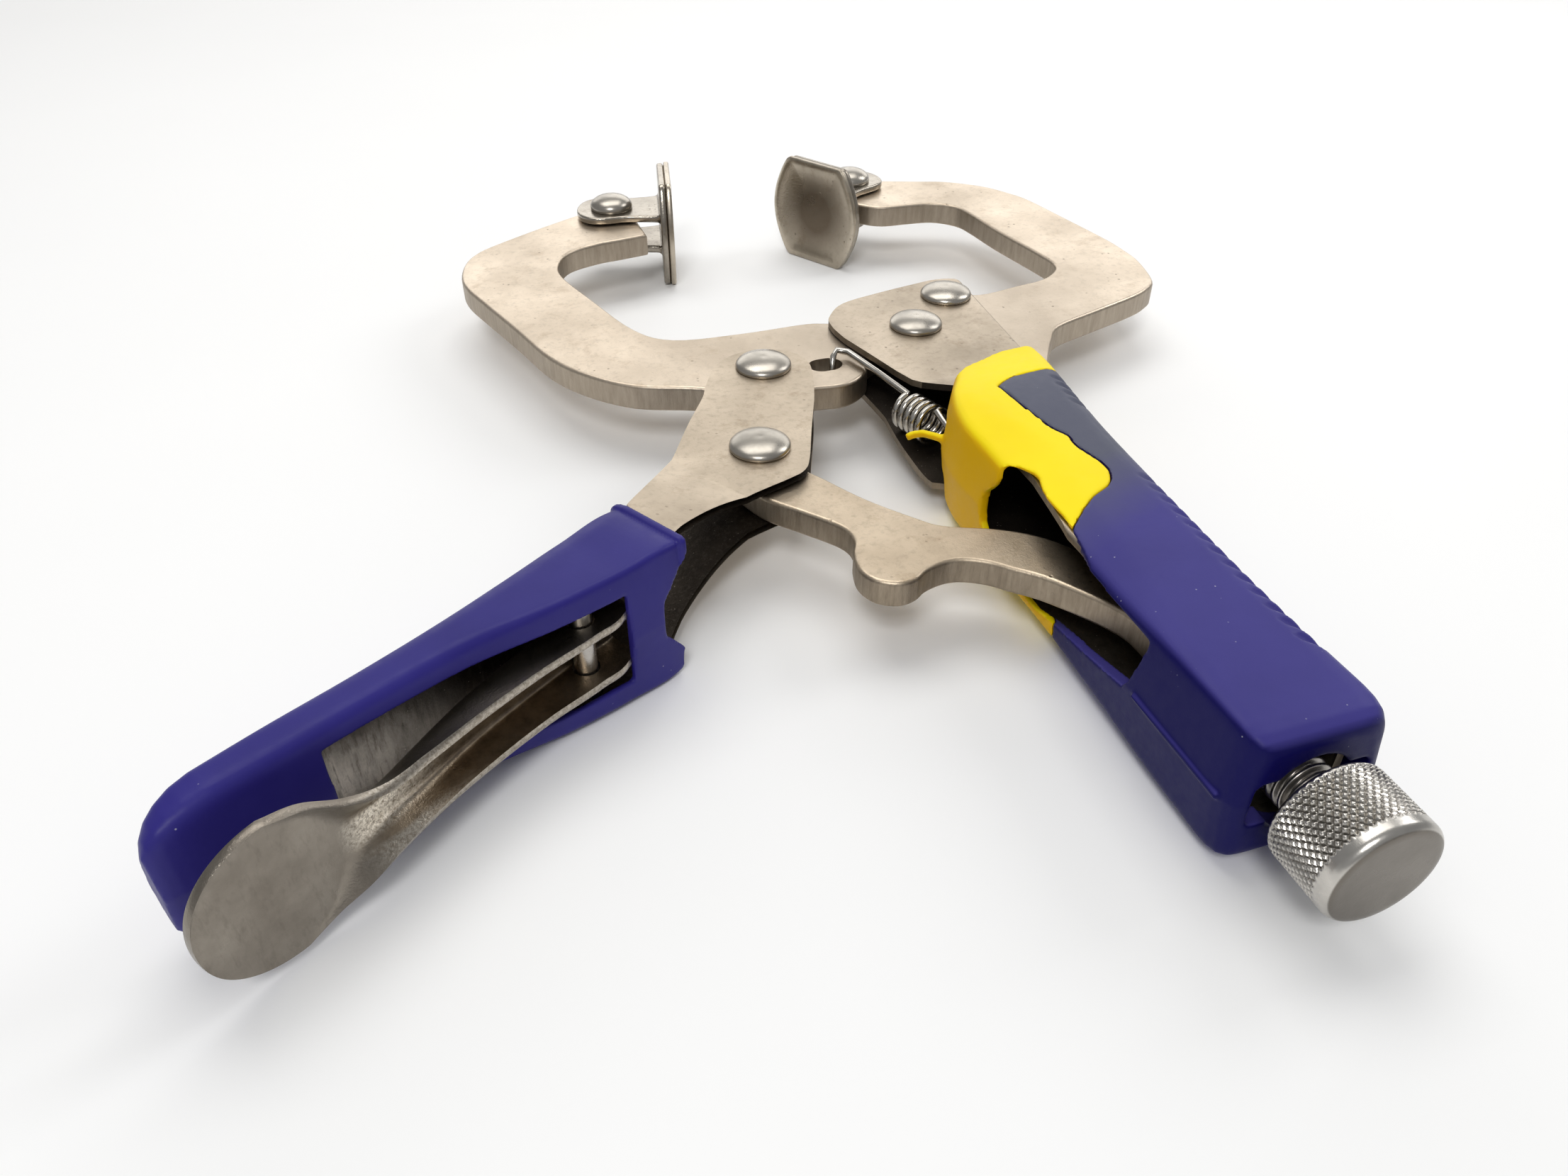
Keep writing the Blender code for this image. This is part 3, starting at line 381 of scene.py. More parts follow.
# The darker wall colours given to the fading blue and the yellow are painted shade.
fading_plastic = moulded_plastic("grip_fading_blue", (0.052, 0.045, 0.23), (0.044, 0.038, 0.20), 0.42, 0.5,
                                 (0.088, 0.094, 0.135), 0.12, (0.004, 0.003, 0.078))
yellow_plastic = moulded_plastic("grip_yellow", (0.98, 0.79, 0.001), (0.95, 0.72, 0.001), 0.48, shine=0.16,
                                 wall=(0.80, 0.46, 0.0))

# ------------------------------------------------------------------ building shapes


def smooth(points, steps=5, corners=()):
    """A closed outline through the points, rounded by a Catmull-Rom curve except at the corners listed."""
    count = len(points)
    out = []
    for i in range(count):
        p0, p1 = points[(i - 1) % count], points[i]
        p2, p3 = points[(i + 1) % count], points[(i + 2) % count]
        if i in corners:
            p0 = p1
        if (i + 1) % count in corners:
            p3 = p2
        for k in range(steps):
            t = k / steps
            out.append(tuple(0.5 * (2 * b + (c - a) * t + (2 * a - 5 * b + 4 * c - d) * t * t
                                    + (3 * b - a - 3 * c + d) * t ** 3)
                             for a, b, c, d in zip(p0, p1, p2, p3)))
    return out


def through(rows, count):
    """Rows of numbers resampled by a smooth curve through them; the first number of each row is the distance."""
    table = np.array(rows, float)
    x = table[:, 0]
    slope = np.gradient(table[:, 1:], x, axis=0)
    out = []
    for spot in np.linspace(x[0], x[-1], count):
        order = np.sign(x[-1] - x[0])
        i = min(max(int(np.searchsorted(order * x, order * spot, side="right")) - 1, 0), len(x) - 2)
        h = x[i + 1] - x[i]
        t = (spot - x[i]) / h
        h00, h10 = 2 * t ** 3 - 3 * t ** 2 + 1, t ** 3 - 2 * t ** 2 + t
        h01, h11 = -2 * t ** 3 + 3 * t ** 2, t ** 3 - t ** 2
        row = (h00 * table[i, 1:] + h10 * h * slope[i] + h01 * table[i + 1, 1:] + h11 * h * slope[i + 1])
        out.append((spot, *row))
    return out


def inset(points, amount):
    """The outline moved inwards by the amount."""
    count = len(points)
    area = sum(points[i][0] * points[(i + 1) % count][1] - points[(i + 1) % count][0] * points[i][1]
               for i in range(count))
    side = 1.0 if area > 0 else -1.0
    out = []
    for i in range(count):
        a, b, c = Vector(points[i - 1]), Vector(points[i]), Vector(points[(i + 1) % count])
        one, two = (b - a).normalized(), (c - b).normalized()
        normal = Vector((-(one.y + two.y), one.x + two.x)).normalized() * side
        lean = max(0.6, abs(normal.dot(Vector((-one.y, one.x)))))
        spot = b + normal * (amount / lean)
        out.append((spot.x, spot.y))
    return out


def loft(rings):
    """A closed body through rings of the same number of points."""
    data = bmesh.new()
    layers = [[data.verts.new(point) for point in ring] for ring in rings]
    for low, high in zip(layers, layers[1:]):
        for i in range(len(low)):
            j = (i + 1) % len(low)
            data.faces.new((low[i], low[j], high[j], high[i]))
    data.faces.new(list(reversed(layers[0])))
    data.faces.new(layers[-1])
    return data


def plate(points, low, high, ease=0.5, rounds=3):
    """A plate between two heights, its edges rounded over."""
    rings = []
    turns = [math.pi / 2 * k / rounds for k in range(rounds + 1)]
    for angle in turns:
        shape = inset(points, ease * (1 - math.sin(angle)))
        rings.append([(x, y, low + ease * (1 - math.cos(angle))) for x, y in shape])
    for angle in reversed(turns):
        shape = inset(points, ease * (1 - math.sin(angle)))
        rings.append([(x, y, high - ease * (1 - math.cos(angle))) for x, y in shape])
    return loft(rings)


def prism(points, low, high):
    return loft([[(x, y, low) for x, y in points], [(x, y, high) for x, y in points]])


def circle(centre, radius, steps=48):
    return [(centre[0] + radius * math.cos(2 * math.pi * k / steps),
             centre[1] + radius * math.sin(2 * math.pi * k / steps)) for k in range(steps)]


def turned(profile, steps=64):
    """A body of revolution about Z from (radius, height) pairs."""
    return loft([[(r * math.cos(2 * math.pi * k / steps), r * math.sin(2 * math.pi * k / steps), z)
                  for k in range(steps)] for r, z in profile])


def tube(points, radius, sides=10):
    """A round wire swept along the points."""
    rings, normal = [], None
    for i, spot in enumerate(points):
        ahead = (points[min(i + 1, len(points) - 1)] - points[max(i - 1, 0)]).normalized()
        if normal is None:
            normal = ahead.orthogonal().normalized()
        normal = (normal - ahead * normal.dot(ahead)).normalized()
        other = ahead.cross(normal)
        rings.append([tuple(spot + (normal * math.cos(a) + other * math.sin(a)) * radius)
                      for a in [2 * math.pi * k / sides for k in range(sides)]])
    return loft(rings)


def raw(data, name="tool"):
    """An object in plan millimetres, not yet in the frame."""
    bmesh.ops.recalc_face_normals(data, faces=data.faces)
    mesh = bpy.data.meshes.new(name)
    data.to_mesh(mesh)
    data.free()
    made = bpy.data.objects.new(name, mesh)
    scene.collection.objects.link(made)
    return made


def apply(obj):
    """Bakes the object's modifiers into its mesh."""
    graph = bpy.context.evaluated_depsgraph_get()
    graph.update()
    done = bpy.data.meshes.new_from_object(obj.evaluated_get(graph))
    obj.modifiers.clear()
    old, obj.data = obj.data, done
    bpy.data.meshes.remove(old)
    return obj


def combine(obj, data, operation="DIFFERENCE"):
    """Cuts or joins another body, then throws that body away."""
    tool = raw(data)
    modifier = obj.modifiers.new("combine", "BOOLEAN")
    modifier.operation = operation
    modifier.solver = "EXACT"
    modifier.object = tool
    apply(obj)
    bpy.data.objects.remove(tool)
    return obj


def rounded(obj, voxel, passes=3):
    """Turns crisp booleans into the soft edges of a moulded or pressed piece."""
    remesh = obj.modifiers.new("remesh", "REMESH")
    remesh.mode = "VOXEL"
    remesh.voxel_size = voxel if FINE else max(voxel, 0.75)
    remesh.use_smooth_shade = True
    relax = obj.modifiers.new("relax", "SMOOTH")
    relax.factor = 0.5
    relax.iterations = passes
    return apply(obj)


def bevelled(obj, width=0.25, angle=32.0):
    """Breaks the sharp edges of sheet metal."""
    modifier = obj.modifiers.new("ease", "BEVEL")
    modifier.width = width
    modifier.segments = 2
    modifier.limit_method = "ANGLE"
    modifier.angle_limit = math.radians(angle)
    modifier.use_clamp_overlap = True
    return apply(obj)


def piece(obj, name, body, mat, nodes=(), weighted=True, inner=None, is_inner=None):
    """Puts a finished shape in the frame: its name, body, finishes and the CAD nodes it stands for."""
    obj.name = obj.data.name = name
    obj.data.materials.clear()
    obj.data.materials.append(mat)
    if inner:
        obj.data.materials.append(inner)
    for polygon in obj.data.polygons:
        polygon.use_smooth = True
        polygon.material_index = 1 if inner and is_inner(polygon.center, polygon.normal) else 0
    obj.data.transform(TO_FRAME)
    obj.data.set_sharp_from_angle(angle=math.radians(50))
    if weighted:
        modifier = obj.modifiers.new("normals", "WEIGHTED_NORMAL")
        modifier.keep_sharp = True
        modifier.weight = 80
    if body:
        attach(obj, body)
    if nodes:
        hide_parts(*nodes)
    return obj


def drill(obj, centre, radius=BORE, steps=48):
    """Bores a hole through the piece at a plan point."""
    return combine(obj, prism(circle(centre, radius, steps), *THROUGH))


# ------------------------------------------------------------------ jaws and toggle link

FIXED_JAW = [(24.4, 79.4), (19.0, 83.4), (15.4, 89.4), (13.6, 97.0), (16.0, 103.2), (21.8, 105.4),
             (28.2, 102.4), (42.2, 97.1), (50.0, 94.3), (56.7, 89.7), (61.7, 84.7), (65.6, 78.0),
             (68.3, 71.3), (71.1, 55.8), (74.2, 36.9), (74.8, 28.0), (74.4, 20.2), (71.1, 8.6),
             (66.7, 4.1), (60.0, 0.8), (46.7, -3.7), (34.4, -8.1), (29.4, -13.7), (25.0, -20.3),
             (19.5, -29.5), (15.6, -36.0), (11.3, -36.0), (11.0, -26.0), (10.9, -14.0), (10.6, -4.0),
             (6.5, 9.6), (6.4, 14.5), (9.6, 18.9), (15.5, 19.4), (23.9, 14.9), (35.6, 16.6), (43.0, 17.9),
             (48.4, 20.9), (51.7, 25.5), (51.1, 33.6), (48.0, 52.4), (46.6, 66.0), (45.0, 72.5), (39.8, 77.4),
             (32.2, 78.6)]
MOVING_JAW = [(-46.5, 80.8), (-46.8, 104.6), (-54.5, 105.6), (-63.0, 101.6), (-75.0, 95.0), (-88.0, 87.0),
              (-93.5, 82.6), (-97.2, 76.6), (-99.2, 68.0), (-98.8, 60.0), (-96.0, 50.0), (-90.5, 32.0),
              (-85.5, 15.0), (-79.0, 4.0), (-70.0, -4.6), (-58.0, -9.6), (-49.5, -14.5), (-42.5, -19.6),
              (-33.0, -18.4), (-25.0, -19.0), (-18.6, -15.0), (-15.6, -8.6), (-8.2, -5.2), (-3.4, -9.0),
              (3.2, -9.1), (7.6, -5.6), (8.9, 0.0), (7.0, 4.6), (1.2, 8.9), (-6.0, 9.6), (-17.0, 11.3),
              (-23.5, 13.0), (-40.0, 13.0), (-55.8, 14.9), (-63.5, 23.5), (-69.7, 43.5), (-74.0, 59.5),
              (-73.6, 68.0), (-69.5, 75.0), (-61.3, 78.5), (-54.7, 79.5)]
LINK = [(-45.2, -48.0), (-42.5, -53.4), (-37.5, -62.5), (-31.0, -71.3), (-27.2, -75.2), (-17.8, -79.6),
        (-11.0, -85.0), (-5.4, -94.0), (-1.4, -104.0), (-0.2, -112.5), (-1.2, -117.6), (-4.6, -120.0),
        (-8.2, -117.4), (-9.4, -108.6), (-16.4, -97.0), (-21.4, -91.8), (-24.6, -88.6), (-28.5, -86.4),
        (-32.0, -86.0), (-35.7, -87.0), (-38.6, -88.8), (-42.0, -89.2), (-45.6, -87.0), (-47.2, -83.0),
        (-46.4, -78.2), (-44.8, -74.3), (-45.6, -69.6), (-50.7, -62.9), (-56.2, -56.0), (-59.2, -48.0),
        (-60.0, -40.5), (-57.4, -34.8), (-52.0, -32.6), (-46.6, -35.2), (-44.4, -41.0)]
JAW_OUTLINE = smooth(FIXED_JAW, 5, corners=(26, 27, 28))

fixed_jaw = raw(plate(JAW_OUTLINE, -JAW_HALF, JAW_HALF, 0.85, 4))
for spot in (JAW_RIVET, FIXED_PAD_PIVOT):
    drill(fixed_jaw, spot)
piece(fixed_jaw, "stamped_fixed_jaw", "fixed_side", jaw_metal, ["fixed_jaw"])

moving_jaw = raw(plate(smooth(MOVING_JAW, 5, corners=(0, 1)), -JAW_HALF, JAW_HALF, 0.85, 4))
for spot in (MAIN, LEVER_PIVOT, MOVING_PAD_PIVOT):
    drill(moving_jaw, spot)
SLOT = [(-26.2 + 3.2 * math.cos(a) + math.copysign(0.8, math.cos(a)), -8.9 + 3.0 * math.sin(a))
        for a in [math.radians(5 + 10 * k) for k in range(36)]]
combine(moving_jaw, prism(SLOT, *THROUGH))
piece(moving_jaw, "stamped_moving_jaw", "jaw_side", jaw_metal, ["moving_jaw"])

link = raw(plate(smooth(LINK, 5), -LINK_HALF, LINK_HALF, 0.85, 4))
drill(link, LINK_PIVOT)
piece(link, "stamped_toggle_link", "link", link_metal, ["toggle_link"])

# ------------------------------------------------------------------ handles: folded channels


def box_section(low, high, half, radius, steps=5):
    corners = ((high, half, 0), (low, half, 90), (low, -half, 180), (high, -half, 270))
    out = []
    for across, up, start in corners:
        mid_a = across - math.copysign(radius, across - (low + high) / 2)
        mid_u = up - math.copysign(radius, up)
        for k in range(steps + 1):
            angle = math.radians(start + 90 * k / steps)
            out.append((mid_a + radius * math.cos(angle), mid_u + radius * math.sin(angle)))
    return out


LEVER_START = Vector((-82.0, -60.0))
LEVER_ALONG = Vector((math.cos(math.radians(210.0)), math.sin(math.radians(210.0))))
LEVER_ACROSS = Vector((-LEVER_ALONG.y, LEVER_ALONG.x))


def lever_plan(along, across):
    spot = LEVER_START + LEVER_ALONG * along + LEVER_ACROSS * across
    return (spot.x, spot.y)


def along_y(stations, radius, grow=0.0):
    return loft([[(x, y, z) for x, z in box_section(low - grow, high + grow, half + grow, radius)]
                 for y, low, high, half in stations])


def along_lever(stations, radius, grow=0.0):
    return loft([[(*lever_plan(along, across), up)
                  for across, up in box_section(low - grow, high + grow, half + grow, radius)]
                 for along, low, high, half in stations])


NOSE = [(-19.1, 7.0), (-17.7, 11.1), (-12.3, 16.7), (-1.8, 19.7), (10.0, 22.0), (15.5, 22.7), (20.6, 21.2),
        (21.7, 16.0), (20.4, 8.0), (19.4, -9.0), (18.5, -19.0), (24.0, -30.0), (24.0, -160.0),
        (-24.0, -160.0), (-24.0, -57.0), (-13.4, -57.0), (-11.4, -47.6), (-15.2, -45.6), (-16.4, -41.0),
        (-17.6, -32.0), (-17.8, -22.0), (-18.4, -11.2), (-19.0, -1.0)]
UPPER_EDGE = [(-40.0, 4.0), (-19.2, 4.0), (-18.6, -1.0), (-15.8, -11.2), (-13.4, -20.3), (-10.8, -28.0),
              (-5.6, -35.0), (-4.8, -38.0), (-9.0, -43.0), (-11.6, -50.0), (-10.6, -62.0), (-10.6, -77.0),
              (-11.7, -85.0), (-12.7, -91.6), (-13.9, -98.0), (-40.0, -98.0)]
CHANNEL = [(30.0, -30.0, 22.4, NOSE_HALF), (-25.0, -30.0, 18.4, NOSE_HALF), (-31.0, -22.0, 16.5, 6.4),
           (-44.0, -18.0, 12.8, 10.0), (-56.0, -14.0, 10.4, 10.7), (-98.0, -13.2, 7.0, 10.8),
           (-124.0, -13.6, 5.4, 10.8), (-147.0, -13.6, 4.8, 10.6)]


def channel_hollow():
    out = []
    for y, low, high, half in CHANNEL:
        right = high + 8.0 if y > -26.0 else high - SHEET
        out.append([y, low - 30.0, right, half - SHEET])
    out[0][0] += 3.0
    out[-1][0] -= 3.0
    return out


handle = raw(along_y(CHANNEL, 1.2))
combine(handle, along_y(channel_hollow(), 0.4))
combine(handle, prism(smooth(NOSE, 5, corners=(10, 11, 12, 13, 14, 15, 16, 17)), *THROUGH), "INTERSECT")
combine(handle, prism(UPPER_EDGE, 0.0, 20.0))
combine(handle, prism(inset(JAW_OUTLINE, -0.35), -JAW_HALF - 0.3, JAW_HALF + 0.3))
for spot in (MAIN, JAW_RIVET):
    drill(handle, spot)
bevelled(handle, 0.45)


def in_fixed_channel(spot, normal):
    """Whether a face looks into the fixed handle's channel."""
    web = normal.x < -0.6 and spot.y < -26.0 and abs(spot.z) < 8.9 and spot.x > -9.0
    return web or normal.z * math.copysign(1.0, spot.z) < -0.9


piece(handle, "folded_fixed_handle", "fixed_side", plate_metal, ["fixed_handle"],
      inner=fixed_inside, is_inner=in_fixed_channel)

LEVER_NOSE = [(-55.8, -13.5), (-51.5, -5.6), (-46.4, -1.3), (-40.0, -0.2), (-34.0, -2.6), (-31.1, -7.2),
              (-31.0, -12.8), (-34.5, -24.4), (-40.0, -38.0), (-44.2, -48.6), (-46.6, -52.4), (-50.4, -54.3),
              (-60.0, -57.8), (-68.0, -62.6), (-76.0, -70.0), (-80.5, -76.5), (-60.0, -112.0),
              (-160.0, -150.0), (-190.0, -90.0), (-98.0, -64.0), (-84.0, -61.5), (-78.4, -53.0),
              (-70.5, -40.8), (-63.6, -28.0), (-57.7, -18.0)]
LEVER = [(-72.0, -38.0, 34.0, NOSE_HALF), (-20.0, -38.0, 40.0, NOSE_HALF), (-10.0, -30.0, 30.0, 7.4),
         (-1.0, -6.0, 22.0, 9.6), (3.0, 2.0, 19.4, 10.4), (6.0, 3.2, 17.4, 10.8), (18.0, 3.6, 17.4, 11.4),
         (30.0, 4.8, 15.8, 11.4), (46.0, 5.8, 11.3, 11.2), (60.0, 5.9, 10.4, 10.9), (74.0, 6.0, 10.2, 10.6),
         (87.0, 6.6, 10.0, 9.8)]
lever = raw(along_lever(LEVER, 1.2))
hollow = [[along, low - 10.0 if along < -5.0 else low + SHEET, high + 30.0, half - SHEET]
          for along, low, high, half in LEVER]
hollow[0][0] -= 4.0
hollow[-1][0] += 3.0
combine(lever, along_lever(hollow, 0.4))
combine(lever, prism(smooth(LEVER_NOSE, 5, corners=(15, 16, 17, 18, 19, 20)), *THROUGH), "INTERSECT")
for spot in (LEVER_PIVOT, LINK_PIVOT):
    drill(lever, spot)
drill(lever, RELEASE_PIVOT, 2.35, 24)
bevelled(lever, 0.45)


def in_lever_channel(spot, normal):
    """Whether a face looks into the lever handle's channel."""
    along = (spot.xy - LEVER_START).dot(LEVER_ALONG)
    across = (spot.xy - LEVER_START).dot(LEVER_ACROSS)
    web = normal.xy.dot(LEVER_ACROSS) > 0.6 and along > -6.0 and abs(spot.z) < 9.2 and across < 9.0
    return web or normal.z * math.copysign(1.0, spot.z) < -0.9


piece(lever, "folded_lever_handle", "lever_side", lever_metal, ["lever_handle"],
      inner=lever_inside, is_inner=in_lever_channel)

# ------------------------------------------------------------------ rivets and pins


def rivet(name, node, centre, half, height, radius, body):
    """A domed head on each side, slightly flattened where it was struck, on a plain shank."""
    seat = half + 0.05
    top = []
    for k in range(9):
        angle = math.radians(90 * k / 8.6)
        top.append((radius * (0.06 + 0.94 * math.cos(angle)), seat + height * (0.16 + 0.84 * math.sin(angle))))
    top = [(radius * 0.975, seat), (radius * 0.995, seat + height * 0.08)] + top + [
        (radius * 0.09, seat + height * 0.985), (radius * 0.03, seat + height * 0.975)]
    profile = [(r, -z) for r, z in reversed(top)] + [(SHANK, -seat), (SHANK, seat)] + top
    data = turned(profile)
    bmesh.ops.translate(data, verts=data.verts, vec=(*centre, 0.0))
    return piece(raw(data), name, body, rivet_metal, [node])


rivet("domed_main_rivet", "main_pivot_rivet", MAIN, NOSE_HALF, 2.5, HEAD, "fixed_side")
rivet("domed_jaw_rivet", "fixed_jaw_rivet", JAW_RIVET, NOSE_HALF, 2.5, HEAD, "fixed_side")
rivet("domed_lever_rivet", "lever_rivet", LEVER_PIVOT, NOSE_HALF, 2.5, HEAD, "jaw_side")
rivet("domed_link_rivet", "link_rivet", LINK_PIVOT, NOSE_HALF, 2.5, HEAD, "lever_side")
PAD_SEAT = JAW_HALF + 0.35 + 2.0
rivet("domed_fixed_pad_rivet", "fixed_pad_rivet", FIXED_PAD_PIVOT, PAD_SEAT, 3.6, 6.0, "fixed_side")
rivet("domed_moving_pad_rivet", "moving_pad_rivet", MOVING_PAD_PIVOT, PAD_SEAT, 3.6, 6.0, "jaw_side")

pin = turned([(0.2, -11.3), (1.6, -11.3), (2.0, -10.9), (2.0, 10.9), (1.6, 11.3), (0.2, 11.3)], 32)
bmesh.ops.translate(pin, verts=pin.verts, vec=(*RELEASE_PIVOT, 0.0))
piece(raw(pin), "turned_release_pin", "lever_side", thread_metal, ["release_pin"])

# ------------------------------------------------------------------ release lever

# x, y, half width at the flanges' tips, flange depth, half width of the web
RELEASE_PATH = [(-92.3, -77.8, 5.7, 5.0, 5.5), (-93.0, -78.3, 5.9, 7.0, 5.7), (-94.4, -79.2, 5.9, 8.0, 5.7),
                (-99.7, -82.4, 5.9, 8.4, 5.7), (-109.2, -89.0, 5.9, 7.4, 5.5), (-118.8, -96.6, 6.0, 6.4, 5.0),
                (-126.6, -103.9, 6.2, 5.2, 4.3), (-132.9, -109.9, 6.9, 4.2, 3.4), (-137.2, -113.6, 9.0, 2.9, 4.6),
                (-140.6, -116.4, 11.2, 1.0, 9.4), (-145.0, -119.8, 12.6, 0.1, 11.5)]
PADDLE_TIP = (-156.0, -127.4)
RELEASE_SHEET = 1.5


def release_rows():
    """The stamping's centre line and section, resampled by length."""
    rows, length = [], 0.0
    for i, row in enumerate(RELEASE_PATH):
        if i:
            length += math.dist(row[:2], RELEASE_PATH[i - 1][:2])
        rows.append((length, *row))
    out = [row[1:] for row in through(rows, 110)]
    x, y, tip, depth, web = out[-1]
    for k in range(1, 25):
        angle = math.radians(88.5 * k / 24)
        ahead, half = math.sin(angle), tip * math.cos(angle) ** 0.86
        out.append((x + (PADDLE_TIP[0] - x) * ahead, y + (PADDLE_TIP[1] - y) * ahead, half, depth, half * 0.9))
    return out


def release_ring(rows, i):
    """A web with a flange on each side, bent at a soft radius, as one closed section."""
    x, y, tip, depth, web = rows[i]
    a, b = Vector(rows[max(i - 1, 0)][:2]), Vector(rows[min(i + 1, len(rows) - 1)][:2])
    ahead = (b - a).normalized()
    out = Vector((-ahead.y, ahead.x))
    depth, tip = max(depth, 0.03), max(tip, 0.8)
    web = min(max(web, 0.3), tip - 0.12)
    corner, end = Vector((0.0, web)), Vector((depth, tip))
    bend = min(2.6, web * 0.6, (end - corner).length * 0.6)
    first, last = Vector((0.0, web - bend)), corner + (end - corner).normalized() * bend
    outer = [Vector((0.0, (web - bend) * k / 3)) for k in range(4)]
    outer += [first.lerp(corner, t).lerp(corner.lerp(last, t), t) for t in [k / 6 for k in range(1, 7)]]
    outer += [last.lerp(end, k / 3) for k in range(1, 4)]
    inner = []
    for k, spot in enumerate(outer):
        run = (outer[min(k + 1, len(outer) - 1)] - outer[max(k - 1, 0)]).normalized()
        if k == 0:
            run = Vector((0.0, 1.0))
        inner.append(spot + Vector((run.y, -run.x)) * RELEASE_SHEET)
    rim = (outer[-1] + inner[-1]) / 2 + (outer[-1] - outer[-2]).normalized() * 0.25
    side = outer + [rim] + list(reversed(inner))
    section = side + [Vector((p.x, -p.y)) for p in reversed(side[1:-1])]
    return [(x + out.x * p.x, y + out.y * p.x, p.y) for p in section]


rows = release_rows()
release = raw(loft([release_ring(rows, i) for i in range(len(rows))]))
drill(release, RELEASE_PIVOT, 2.35, 32)
piece(release, "pressed_release_lever", "release", release_metal, ["release_lever"],
      weighted=False)

# ------------------------------------------------------------------ adjusting screw and knurled knob

TO_SCREW = Matrix.Rotation(math.radians(90.0), 4, "X")


def on_screw(data, front_y):
    """Turns a body from the Z axis to the screw's, its Z running back from the given Y."""
    data.transform(Matrix.Translation((SCREW_X, front_y, 0.0)) @ TO_SCREW)
    return data


def thread(radius, depth, pitch, length, steps=40, per_turn=12):
    """A screw thread whose ridge climbs round the shank."""
    rings = [[(0.4 * math.cos(2 * math.pi * k / steps), 0.4 * math.sin(2 * math.pi * k / steps), 0.0)
              for k in range(steps)]]
    count = int(length / pitch * per_turn)
    for i in range(count + 1):
        z = length * i / count
        tip = min(1.0, z / 2.0)
        ring = []
        for k in range(steps):
            phase = (z / pitch - k / steps) % 1.0
            ridge = min(1.0, max(0.0, 1.45 - 3.2 * abs(phase - 0.5)))
            r = (radius - depth * (1 - ridge)) * (0.55 + 0.45 * tip)
            angle = 2 * math.pi * k / steps
            ring.append((r * math.cos(angle), r * math.sin(angle), z))
        rings.append(ring)
    return loft(rings)


screw_length = SCREW_TIP_Y - KNOB_Y + KNOB_LENGTH * 0.5
screw = raw(on_screw(thread(4.8, 0.75, 1.5, screw_length), SCREW_TIP_Y))
piece(screw, "threaded_adjusting_screw", "screw", thread_metal, ["adjusting_screw"],
      weighted=False)


def knurled(steps, slices):
    """A knob whose grip is cut by two crossing sets of slanted grooves into small pyramids."""
    starts, lead = 46, 1.62
    rings = []
    for i in range(slices + 1):
        z = KNOB_LENGTH * i / slices
        base = KNOB_RADIUS
        if z < 1.5:
            base -= 1.25 * (1 - math.sqrt(max(0.0, 1 - (1 - z / 1.5) ** 2)))
        if z > KNOB_LENGTH - 1.5:
            base -= 1.35 * (1 - math.sqrt(max(0.0, 1 - (1 - (KNOB_LENGTH - z) / 1.5) ** 2)))
        band = max(0.0, min(1.0, (z - 0.7) / 0.7, (KNOB_LENGTH - 2.4 - z) / 0.6))
        ring = []
        for k in range(steps):
            turn = starts * k / steps
            one = abs((turn + z / lead) % 1.0 - 0.5) * 2
            two = abs((turn - z / lead) % 1.0 - 0.5) * 2
            cut = max(0.0, 1 - min(one, two) / 0.62)
            r = base - 0.42 * cut * band
            angle = 2 * math.pi * k / steps
            ring.append((r * math.cos(angle), r * math.sin(angle), z))
        rings.append(ring)
    for r, z in ((7.6, KNOB_LENGTH + 0.0), (0.4, KNOB_LENGTH + 0.0)):
        rings.append([(r * math.cos(2 * math.pi * k / steps), r * math.sin(2 * math.pi * k / steps), z)
                      for k in range(steps)])
    return loft(rings)


knob = raw(on_screw(knurled(46 * 10, 110), KNOB_Y))
combine(knob, on_screw(turned([(0.5, -2.0), (4.65, -2.0), (4.65, 7.15), (0.5, 7.15)], 32), KNOB_Y))
piece(knob, "knurled_adjusting_knob", "knob", knob_metal, ["knurled_knob"], weighted=False)

# ------------------------------------------------------------------ swivel pads

PAD_RADIUS, PAD_CHORD, PAD_REACH = 15.5, 14.9, 17.3
SHARES = ((-1.0, 0.6), (-0.93, 0.69), (-0.7, 0.82), (-0.36, 0.95), (0.0, 1.0), (0.36, 0.95), (0.7, 0.82),
          (0.93, 0.69), (1.0, 0.6))


def pad_outline():
    half = [(PAD_RADIUS * width, PAD_CHORD * share) for share, width in SHARES]
    corners = half + [(-x, y) for x, y in reversed(half)]
    return smooth(corners, 6, corners=(0, 8, 9, 17))


